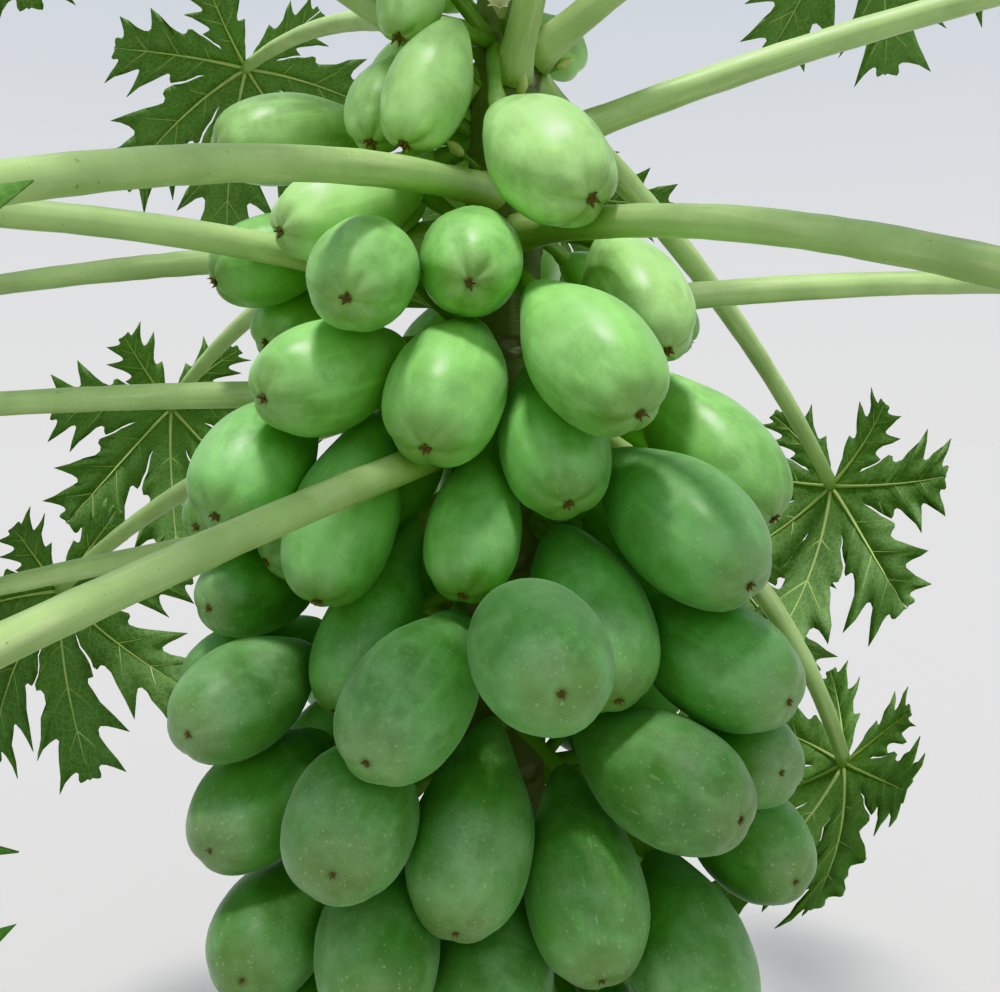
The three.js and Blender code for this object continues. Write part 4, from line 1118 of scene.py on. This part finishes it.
def fruit_skin(number, f):
    """Points, faces, own places and shares along of one fruit."""
    share = 0.5 - 0.5 * np.cos(np.pi * np.linspace(*RINGS_SPAN, FRUIT_RINGS))
    # The neck is a little slimmer than the model's, and no fruit is quite straight.
    pinch = (PINCH + NECK_PINCH * f["neck"]) * np.exp(-(((share - PINCH_AT) / PINCH_LONG) ** 2))
    full = girth(share, f["neck"]) * (1 - pinch)
    sideways = unit(np.cross(f["axis"], [wobble(number + 0.11), wobble(number + 0.57), 0.4]))
    bow = BOW * wobble(number + 0.77) * np.sin(np.pi * share)
    line = f["stem"] + f["length"] * (share[:, None] * f["axis"] + bow[:, None] * sideways)
    around = 2 * np.pi * np.arange(FRUIT_SIDES) / FRUIT_SIDES
    young = np.clip((f["stem"][2] - YOUNG_FROM) / (YOUNG_TO - YOUNG_FROM), 0, 1)
    rib_middle, rib_tip = [old + (new - old) * young for old, new in zip(RIB_OLD, RIB_YOUNG)]
    rib = rib_middle + RIB_SHOULDER * np.clip((SHOULDER_LONG - share) / SHOULDER_LONG, 0, 1)
    rib = rib + rib_tip * np.clip((share - TIP_FROM) / TIP_LONG, 0, 1) ** 2
    # The ribs are broad and the valleys between them narrow.
    valley = (1 - np.abs(np.cos(2.5 * around + 2 * math.pi * wobble(number + 0.29)))) ** 1.3
    ribbed = f["radius"] * full[:, None] * (1 + rib[:, None] * (0.4 - 1.4 * valley[None, :]))
    points, faces, places = ring_skin(line, ribbed, FRUIT_SIDES)
    # Near the tip the valleys run on over the blunt end, and the middle sinks in under the dry star.
    groove = (GROOVE_OLD + (GROOVE_YOUNG - GROOVE_OLD) * young) * min(1.0, f["radius"] / GROOVE_FULL_RADIUS)
    hollow = TIP_HOLLOW * np.exp(-((full / HOLLOW_WIDTH) ** 2))[:, None]
    sunk = (share > TIP_FROM)[:, None] * (groove * np.sin(np.pi * full)[:, None] * valley + hollow)
    points[:-2] -= sunk.reshape(-1, 1) * f["axis"]
    points[-1] -= TIP_HOLLOW * f["axis"]
    seed = Vector((7.1 * number, 3.3 * number, 0.0))
    spine = np.concatenate([np.repeat(line, FRUIT_SIDES, axis=0), line[:1], line[-1:]])
    swell = [SWELL * noise.noise(Vector(place) * 12 + seed) for place in places]
    points += (points - spine) * np.array(swell)[:, None]
    shares = np.append(np.repeat(share, FRUIT_SIDES), [0, 1])
    return points, faces, places + [1.3 * number, 0.7 * number, 0.4 * number], shares


def build_fruit():
    gathered = Gatherer()
    for number, f in enumerate(fruit):
        points, faces, places, shares = fruit_skin(number, f)
        gathered.add(points, faces, places, fruit_tone_with_painted_light(number, f), shares)
    return gathered.build("fruit_skins", fruit_materials)


fruit_skins = build_fruit()
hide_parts(*bunch_names)

# %% [markdown]
# ## Fruit stalks
#
# Short green stalks carry the fruit. Those of one bunch leave the trunk together, where a leaf once stood, and part
# on their way out. A stalk widens into a small collar where it enters the fruit's shoulder.

# %% Build the fruit stalks
STUB_RADIUS = 0.016
FRUIT_STALK_RADIUS = 0.009
FORK_OUT = 0.6
ROOT_DEPTH = 1.8
# Neither a stalk nor its stub is thicker than these shares of its fruit's radius.
STALK_SHARE, STUB_SHARE = 0.4, 0.6
STALK_SLIM = 0.86
STALK_BOW = 0.006
STALK_SUNK = 0.06
FRUIT_STALK_STEPS, FRUIT_STALK_SIDES = 13, 10
STUB_FADE = 0.16
COLLAR, COLLAR_AT, COLLAR_LONG = 0.35, 0.88, 0.09


def fork_of(bunch):
    """Where the stalks of a bunch part, just off the bark, and the way out from the trunk there."""
    middle = np.mean([f["stem"] for f in bunch], axis=0)
    axis = trunk_middle(middle[2])
    out = unit((middle - axis) * [1, 1, 0])
    return axis + out * (float(trunk_radius(axis[2])) + FORK_OUT * STUB_RADIUS), out


def build_fruit_stalks():
    gathered = Gatherer()
    number = 0
    for bunch in bunches:
        fork, out = fork_of(bunch)
        for f in bunch:
            thick = min(FRUIT_STALK_RADIUS, STALK_SHARE * f["radius"])
            start = fork - out * ROOT_DEPTH * STUB_RADIUS
            end = f["stem"] + f["axis"] * STALK_SUNK * f["length"]
            t = np.linspace(0, 1, FRUIT_STALK_STEPS)[:, None]
            bow = fork + out * STALK_BOW
            line = (1 - t) ** 2 * start + 2 * t * (1 - t) * (0.5 * bow + 0.25 * (start + end)) + t**2 * end
            t = t.ravel()
            # A stub at the bark, and a collar at the fruit.
            stub = (min(STUB_RADIUS, STUB_SHARE * f["radius"]) - thick) * np.exp(-t / STUB_FADE)
            collar = COLLAR * np.exp(-(((t - COLLAR_AT) / COLLAR_LONG) ** 2))
            radii = thick * (STALK_SLIM + collar) + stub
            gathered.add_ring_skin(line, radii, FRUIT_STALK_SIDES, [0, 0, 2 * number])
            number += 1
    return gathered.build("fruit_stalks", [fruit_stalk_material])


fruit_stalks = build_fruit_stalks()

# %% [markdown]
# ## What the blossom left behind
#
# At the end of each fruit sits a dry brown star, the five withered lobes of the flower's stigma. It is large and
# spiky on the young fruit near the top and worn down to a small scar on the old ones. Five curled spikes round a
# low button make it, in mesh, because it breaks the fruit's outline.

# %% Build the dry stars
STAR_POINTS = 5
STAR_YOUNG, STAR_SHRINK = 0.0066, 0.0042
STAR_YOUNGEST_AT, STAR_AGES_OVER = 1.75, 0.9
STAR_FULL_RADIUS = 0.035
# The button's rings: how far along the fruit's axis, and their radii. Then the spikes: how far out and along.
BUTTON_RISES, BUTTON_RADII = (-0.3, 0.1, 0.3, 0.36), np.array([0.5, 0.5, 0.36, 0.1])
SPIKE_STEPS, SPIKE_RADII = [(0.2, 0.1), (0.6, 0.24), (0.95, 0.3)], np.array([0.28, 0.32, 0.25, 0.05])


def build_blossom_ends():
    gathered = Gatherer()
    for number, f in enumerate(fruit):
        age = np.clip((STAR_YOUNGEST_AT - f["stem"][2]) / STAR_AGES_OVER, 0, 1)
        size = (STAR_YOUNG - STAR_SHRINK * age) * min(1.0, f["radius"] / STAR_FULL_RADIUS)
        axis = f["axis"]
        side = unit(np.cross(axis, [0.3, 0.2, 1.0]))
        front = np.cross(axis, side)
        tip = f["stem"] + axis * (f["length"] - TIP_HOLLOW)
        button = [tip + axis * h * size for h in BUTTON_RISES]
        gathered.add_ring_skin(button, size * BUTTON_RADII, 8, 0.1 * number)
        for k in range(STAR_POINTS):
            turn = 2 * math.pi * (k + 0.25 * wobble(number + k)) / STAR_POINTS
            out = math.cos(turn) * side + math.sin(turn) * front
            curl, reach = 0.5 + 0.4 * wobble(2.1 * number + k), size * (1 + 0.3 * wobble(3.7 * number + k))
            steps = [*SPIKE_STEPS, (1.2, 0.45 + curl)]
            line = [tip + out * reach * far + axis * size * rise for far, rise in steps]
            gathered.add_ring_skin(line, size * SPIKE_RADII, 6, 0.1 * number)
    return gathered.build("blossom_ends", [dry_material])


blossom_ends = build_blossom_ends()

# %% [markdown]
# ## The growing tip, with buds and flowers
#
# The top of the trunk is a tight cluster of folded young leaves. Below it, in the axils, sit pale pointed buds and a
# few open flowers with five fleshy, twisted petals. The three young leaves of the model were made with the others
# above. Here come the folded ones, the buds and the flowers, small things that give the tip its scale.

# %% Folded young leaves
# Compass angle, spread from upright in degrees, stalk, blade, and the half angle that its fingers close to.
FOLDED = [
    (20, 12, 0.075, 0.085, 16),
    (110, 18, 0.06, 0.07, 14),
    (-75, 10, 0.1, 0.1, 20),
    (-165, 22, 0.05, 0.06, 12),
    (75, 4, 0.12, 0.075, 13),
    (-120, 26, 0.13, 0.11, 24),
]


def add_sheet(gathered, grid, thickness, shift, finish=0):
    """A grid with thickness, closed round its rim."""
    rows, columns = grid.shape[:2]
    normal = unit(np.cross(np.gradient(grid, axis=0), np.gradient(grid, axis=1)))
    points = np.concatenate([grid.reshape(-1, 3), (grid + normal * thickness).reshape(-1, 3)])
    quads, upper = grid_quads(rows, columns), rows * columns
    index = np.arange(upper).reshape(rows, columns)
    rim = np.concatenate([index[0, :-1], index[:-1, -1], index[-1, :0:-1], index[:0:-1, 0]])
    after = np.roll(rim, -1)
    walls = np.stack([rim, after, after + upper, rim + upper], axis=1)
    faces = quads[:, ::-1].tolist() + (quads + upper).tolist() + walls[:, ::-1].tolist()
    gathered.add(points, faces, points + shift, finish)


def closed_place(start, along, half_angle, radius):
    """A function that takes flat places on a blade to a closed umbrella of pleats round a line."""
    side = unit(np.cross(along, [0.2, 0.9, 0.1]))
    front = np.cross(along, side)

    def place(flat):
        reach = np.hypot(flat[..., 0], flat[..., 1])
        around = np.arctan2(flat[..., 1], flat[..., 0])
        off = np.radians(np.abs(np.degrees(around)[..., None] - FINGER_ANGLES).min(-1))
        open_by = math.radians(half_angle) * (1.15 - 0.7 * reach)
        wide = np.sin(open_by) * (1 - 0.55 * np.minimum(1, 3.2 * off)) * reach + 0.03
        ring = np.cos(around)[..., None] * side + np.sin(around)[..., None] * front
        rise = (np.cos(open_by) * reach)[..., None] * along
        return start + radius * (rise + wide[..., None] * ring)

    return place


# The tight bud in their middle: its rings' shares of its height, and their radii.
BUD_RINGS = [(0, 0.0245), (0.2, 0.0245), (0.4, 0.0232), (0.6, 0.02), (0.8, 0.014), (0.93, 0.008), (1, 0.002)]
BUD_REACH, BUD_SUNK = 0.09, 0.03
FOLDED_FOOT, FOLDED_RISE = 0.011, 0.02
FOLDED_HIDDEN = 0.02
FOLDED_STALK_TIP, FOLDED_STALK_EXTRA = 0.0036, 0.004
FOLDED_THICKNESS = 0.0009


def build_growing_tip():
    leaves = Gatherer()
    base = trunk_middle(TRUNK_HEIGHT) - [0, 0, BUD_SUNK]
    heights, bud_radii = np.array(BUD_RINGS).T
    leaves.add_ring_skin(base + BUD_REACH * heights[:, None] * [0, 0, 1.0], bud_radii, 20)
    for number, (angle, spread, stalk, blade, half_angle) in enumerate(FOLDED):
        out = heading(angle, 90 - spread)
        start = base + heading(angle) * FOLDED_FOOT + [0, 0, FOLDED_RISE]
        t = np.linspace(0, 1, 9)
        line = start + t[:, None] * (stalk + FOLDED_HIDDEN) * out
        radii = FOLDED_STALK_TIP + FOLDED_STALK_EXTRA * (1 - t) ** 2
        leaves.add_ring_skin(line, radii, 10, 0.2 * number)
        place = closed_place(line[-1], out, half_angle, blade)
        for i, length in enumerate(FINGER_LENGTHS):
            for side, gap, reach in zip((-1, 1), *finger_gaps(i)):
                grid = strip(number, i, side, finger_rows(gap, reach, length)[::2])
                add_sheet(leaves, place(grid)[::side], FOLDED_THICKNESS, 0.3 * number, 1)
    return leaves.build("folded_leaves", [young_stalk_material, leaf_materials[3]])


folded_leaves = build_growing_tip()
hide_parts("growing_tip")

# %% Buds and flowers in the axils
FLOWER_LOW, FLOWER_HIGH = 1.5, 2.03
AXIL_SUNK = 0.004
BUD_LENGTH, BUD_GIRTH = 0.026, 0.0062
FLOWER_STALK_RADII = [0.0042, 0.0032, 0.003, 0.003, 0.0036]
PETALS = 5
PETAL_REACH, PETAL_HALF_WIDTH = 0.03, 0.0055
PETAL_CUP, PETAL_THICKNESS = 0.0016, 0.0012


def axil(height, angle, out, rise):
    """A short flower stalk from the bark: where it starts and ends, and its direction."""
    foot = trunk_middle(height) + heading(angle) * (float(trunk_radius(height)) - AXIL_SUNK)
    way = heading(angle, rise)
    return foot, foot + way * out, way


def bud_skin(base, way, length, thick):
    """A pointed bud whose five petals wind round each other."""
    share = np.linspace(0, 1, 10)
    radii = thick * np.sin(np.pi * np.clip(share, 0.02, 0.98) ** 0.8) ** 0.7
    around = np.arange(10) * 2 * np.pi / 10
    twisted = radii[:, None] * (1 + 0.08 * np.cos(5 * (around[None, :] + 1.6 * share[:, None])))
    return ring_skin(base + share[:, None] * length * way, twisted, 10)


def petal_grid(base, way, out, spread):
    """One petal as a grid that leaves the flower's tube along the stalk and curls outwards with a twist."""
    across = np.cross(way, out)
    grid = []
    for s in np.linspace(0, 1, 8):
        lean = spread * s**1.3
        middle = base + way * PETAL_REACH * math.sin(1.25 * s) + out * (0.003 + 0.026 * lean * s)
        half = PETAL_HALF_WIDTH * math.sin(math.pi * (0.12 + 0.83 * s)) ** 0.7
        twist = 0.5 * s
        edge = across * math.cos(twist) + way * math.sin(twist) * 0.6
        grid.append([middle + edge * half * w + out * PETAL_CUP * (1 - abs(w)) for w in (-1, -0.5, 0, 0.5, 1)])
    return np.array(grid)


def build_blossom():
    flowers, stems = Gatherer(), Gatherer()
    lowest = math.ceil((FLOWER_LOW - SPIRAL_LOW) / SPIRAL_STEP)
    highest = math.floor((FLOWER_HIGH - SPIRAL_LOW) / SPIRAL_STEP)
    for k in range(lowest, highest):
        height = SPIRAL_LOW + (k + 0.5) * SPIRAL_STEP
        angle = k * SPIRAL_ANGLE + 22 + 14 * wobble(k + 0.2)
        foot, end, way = axil(height, angle, 0.03 + 0.01 * wobble(k), 30 + 16 * wobble(k + 0.6))
        t = np.linspace(0, 1, len(FLOWER_STALK_RADII))[:, None]
        stems.add_ring_skin(foot + t * (end - foot), FLOWER_STALK_RADII, 8, 0.3 * k)
        if k % 3:
            flowers.add(*bud_skin(end - way * 0.002, way, BUD_LENGTH * (1 + 0.2 * wobble(k)), BUD_GIRTH), 1)
            continue
        side = unit(np.cross(way, [0.1, 0.3, 1.0]))
        front = np.cross(way, side)
        for petal in range(PETALS):
            turn = 2 * math.pi * petal / PETALS + k
            out = math.cos(turn) * side + math.sin(turn) * front
            grid = petal_grid(end, way, out, 0.75 + 0.2 * wobble(k + petal))
            add_sheet(flowers, grid, PETAL_THICKNESS, 0.1 * k + petal)
    blossom = flowers.build("blossom", [petal_material, bud_material])
    return blossom, stems.build("blossom_stalks", [fruit_stalk_material])


blossom, blossom_stalks = build_blossom()

# %% [markdown]
# ## Floor, light and camera
#
# A plain pale floor under an even sky shows the plant and nothing else. One soft light stands high above, a little
# in front, and a weak one fills the shadows from the front. Area lamps could do it, but they leave the edge of a
# pool of light on the floor. Sun lamps light the whole floor evenly, and a wide angle softens their shadows. The sky
# is toned to meet the floor without a line. The camera stands at the photograph's viewing angle: at chest height, a
# little over a metre from the fruit, looking down slightly.

# %% Floor
# So wide that its edge lies on the horizon.
FLOOR_SIZE = 900.0
FLOOR_TONE = (0.427, 0.42, 0.416, 1)


def build_floor():
    mesh = bpy.data.meshes.new("floor")
    half = FLOOR_SIZE / 2
    corners = [(-half, -half, 0), (half, -half, 0), (half, half, 0), (-half, half, 0)]
    mesh.from_pydata(corners, [], [(0, 1, 2, 3)])
    material = bpy.data.materials.new("floor_paint")
    material.use_nodes = True
    shader = material.node_tree.nodes["Principled BSDF"]
    shader.inputs["Base Color"].default_value = FLOOR_TONE
    shader.inputs["Roughness"].default_value = 0.9
    shader.inputs["Specular IOR Level"].default_value = 0.0
    mesh.materials.append(material)
    floor = bpy.data.objects.new("floor", mesh)
    bpy.context.scene.collection.objects.link(floor)


build_floor()
print("floor:", FLOOR_SIZE, "m")

# %% Lights
SUN_FROM = (-8, 72)
SUN_STRENGTH, SUN_WIDTH = 4.0, 9
SUN_TONE = (1.0, 0.985, 0.94)
FILL_FROM = (12, 18)
FILL_STRENGTH, FILL_WIDTH = 0.75, 60
FILL_TONE = (0.96, 0.98, 1.0)
SKY_LOW, SKY_HIGH = (0.82, 0.82, 0.82, 1), (0.62, 0.68, 0.76, 1)


def add_sun(name, source, strength, width, tone):
    """A sun lamp from a compass angle and an elevation, as wide as its own angle in the sky."""
    lamp = bpy.data.lights.new(name, "SUN")
    lamp.energy = strength
    lamp.angle = math.radians(width)
    lamp.color = tone
    holder = bpy.data.objects.new(name, lamp)
    holder.rotation_euler = Vector(heading(*source)).to_track_quat("Z", "Y").to_euler()
    bpy.context.scene.collection.objects.link(holder)


def build_lights():
    add_sun("soft_sun", SUN_FROM, SUN_STRENGTH, SUN_WIDTH, SUN_TONE)
    add_sun("front_fill", FILL_FROM, FILL_STRENGTH, FILL_WIDTH, FILL_TONE)
    world = bpy.data.worlds.new("soft_sky")
    world.use_nodes = True
    tree = world.node_tree
    direction = node(tree, "ShaderNodeTexCoord").outputs["Generated"]
    height = node(tree, "ShaderNodeSeparateXYZ", {0: direction}).outputs["Z"]
    sky = mixed(tree, ramp(tree, height, 0.0, 0.6), SKY_LOW, SKY_HIGH)
    background = tree.nodes["Background"]
    tree.links.new(sky, background.inputs["Color"])
    bpy.context.scene.world = world
    bpy.context.scene.view_settings.view_transform = "Khronos PBR Neutral"


build_lights()
print("light from:", SUN_FROM)

# %% Camera
EYE = (0.015, -1.25, 1.25)
DIP = 3.05
FOCAL_PIXELS, PICTURE_WIDTH = 1050, 1000
SENSOR = 36.0
SIGHT = 2000.0


def build_camera():
    lens = bpy.data.cameras.new("camera")
    lens.sensor_width = SENSOR
    lens.lens = SENSOR * FOCAL_PIXELS / PICTURE_WIDTH
    lens.clip_end = SIGHT
    holder = bpy.data.objects.new("camera", lens)
    holder.location = EYE
    holder.rotation_euler = (math.radians(90 - DIP), 0, 0)
    bpy.context.scene.collection.objects.link(holder)
    bpy.context.scene.camera = holder


build_camera()
print("camera at", EYE, "lens", round(SENSOR * FOCAL_PIXELS / PICTURE_WIDTH, 1), "mm")
